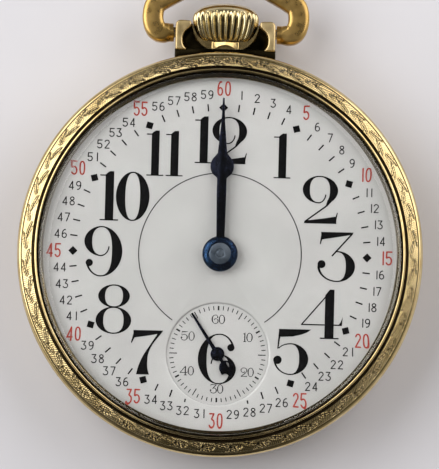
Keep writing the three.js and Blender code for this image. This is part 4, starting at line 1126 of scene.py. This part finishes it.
def minute_hand():
    """A plain tapered blade on a stepped hub, with a bright cap."""
    low, high = box("minute_hand")
    z = low.z
    right = [(0.48, 0), (0.6, 7.5), (0.58, 12.6), (0.42, 14.4), (0.25, 16.2), (0.1, high.y)]
    blade = slab("minute_blade", [mirrored(right)], z, z + 0.25, bevel=0.05)
    link_piece("minute_blade", blade, "minute", HANDS, ["minute_hand"])
    hub = spun("hub", [
        (0, z, 0), (2.2, z), (2.2, z + 0.3, 0.1), (1.95, z + 0.6, 0.3), (1.42, z + 0.68, 0.08),
        (1.38, z + 0.6, 0.05), (0, z + 0.6, 0)], 96)
    link_piece("minute_hub", hub, "minute", HUB)
    cap = spun("hub_cap", [
        (0, z + 0.58, 0), (1.34, z + 0.58), (1.34, z + 0.68, 0.08), (0.62, z + 0.74, 0.05),
        (0.58, z + 0.70, 0.03), (0.44, z + 0.70, 0.03), (0.40, z + 0.78, 0.06), (0, high.z, 0)], 64)
    link_piece("hub_cap", cap, "minute", BRUSHED)


def seconds_hand():
    """A thin blade with a pierced, barbed tail."""
    low, high = box("seconds_hand")
    z = low.z
    wing = smooth_path([(-0.5, -1.25), (-0.85, -1.75), (-0.92, -2.5)], 4)
    barb = smooth_path([(-0.92, -2.5), (-0.45, -2.62), (-0.14, -3.2)], 4)
    tail = [(-0.2, -1.1), *wing, *barb[1:]]
    tail += [(-x, y) for x, y in reversed(tail)]
    outline = [(0.27, 0), (0.13, 6.0), (-0.13, 6.0), (-0.27, 0), *tail]
    blade = slab("seconds_blade", [outline, circle(0.87, 40)], z, z + 0.14, bevel=0.03)
    slot = slab("slot", [oval(0.42, -1.85, 0.13, 0.42, 0, 360)[:-1]], z - 1, z + 1)
    blade = combined(blade, "DIFFERENCE", slot)
    pipe = spun("pipe", [
        (0, z + 0.05, 0), (0.62, z + 0.05), (0.62, high.z - 0.1, 0.1), (0.3, high.z, 0.1),
        (0, high.z, 0)], 40)
    blade = combined(blade, "UNION", pipe)
    turn = Matrix.Rotation(math.radians(SECONDS_TURN), 4, "Z")
    blade.transform(Matrix.Translation((*SECONDS_AT, 0)) @ turn)
    link_piece("seconds_blade", blade, "fourth", HANDS, ["seconds_hand"])


# ------------------ movement

def soften(node, width):
    """Rounds the hard edges of a CAD node that stays in view."""
    weld = node.modifiers.new("weld", "WELD")
    weld.merge_threshold = 1e-6
    bevel = node.modifiers.new("bevel", "BEVEL")
    bevel.width = width * MM
    bevel.segments = 2
    bevel.limit_method = "ANGLE"
    bevel.angle_limit = math.radians(40)


def movement():
    finishes = {
        "nickel_plate": NICKEL, "polished_steel": STEEL, "blued_steel": BLUED, "brass_wheel": BRASS,
        "gold_case": GOLD, "white_enamel": ENAMEL, "crystal_glass": GLASS}
    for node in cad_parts.values():
        slot = node.data.materials[0].name.split(".")[0]
        node.data.materials[0] = finishes[slot]
    for name in ("main_plate", "barrel_bridge", "train_bridge", "balance_cock"):
        soften(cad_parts[name], 0.06)


def jewels():
    """Rubies in gold settings over the pivots, on the back of the bridges."""
    settings = {"centre_arbor": BRIDGE_LOW, "third_arbor": BRIDGE_LOW, "fourth_arbor": BRIDGE_LOW,
                "balance_staff": COCK_LOW}
    for name, low in settings.items():
        at = middle(name).xy
        large = 1.0 if name == "balance_staff" else 0.8
        setting = lathe(f"{name}_setting", rounded([
            (large * 0.55, low + 0.1), (large * 1.15, low + 0.1), (large * 1.15, low - 0.1, 0.06),
            (large * 0.62, low - 0.05, 0.05)], 0.03), 48, at)
        link_piece(f"{name}_setting", setting, "case", BRASS)
        stone = spun(f"{name}_jewel", [
            (0, low + 0.1, 0), (large * 0.58, low + 0.1), (large * 0.58, low - 0.02, 0.1),
            (large * 0.16, low - 0.08, 0.05), (0, low, 0)], 40, radius=0.04, at=at)
        link_piece(f"{name}_jewel", stone, "case", RUBY)


# ------------------ the watch

add_camera()
add_world()
area_light("key", (-290, 112, 340), (420, 420), 1.68, (1.0, 0.99, 0.98))
area_light("fill", (290, 185, 270), (340, 520), 1.15, (1.0, 0.97, 0.95))
add_floor()
bpy.context.scene.view_settings.view_transform = "Standard"

movement()
band()
bezel()
crystal()
back()
pendant_ears()
pendant_recess()
pendant_cup()
crown()
bow()
dial()
hour_numerals()
minute_track()
minute_numerals()
centre_circle()
seconds_print()
hour_hand()
minute_hand()
seconds_hand()
jewels()
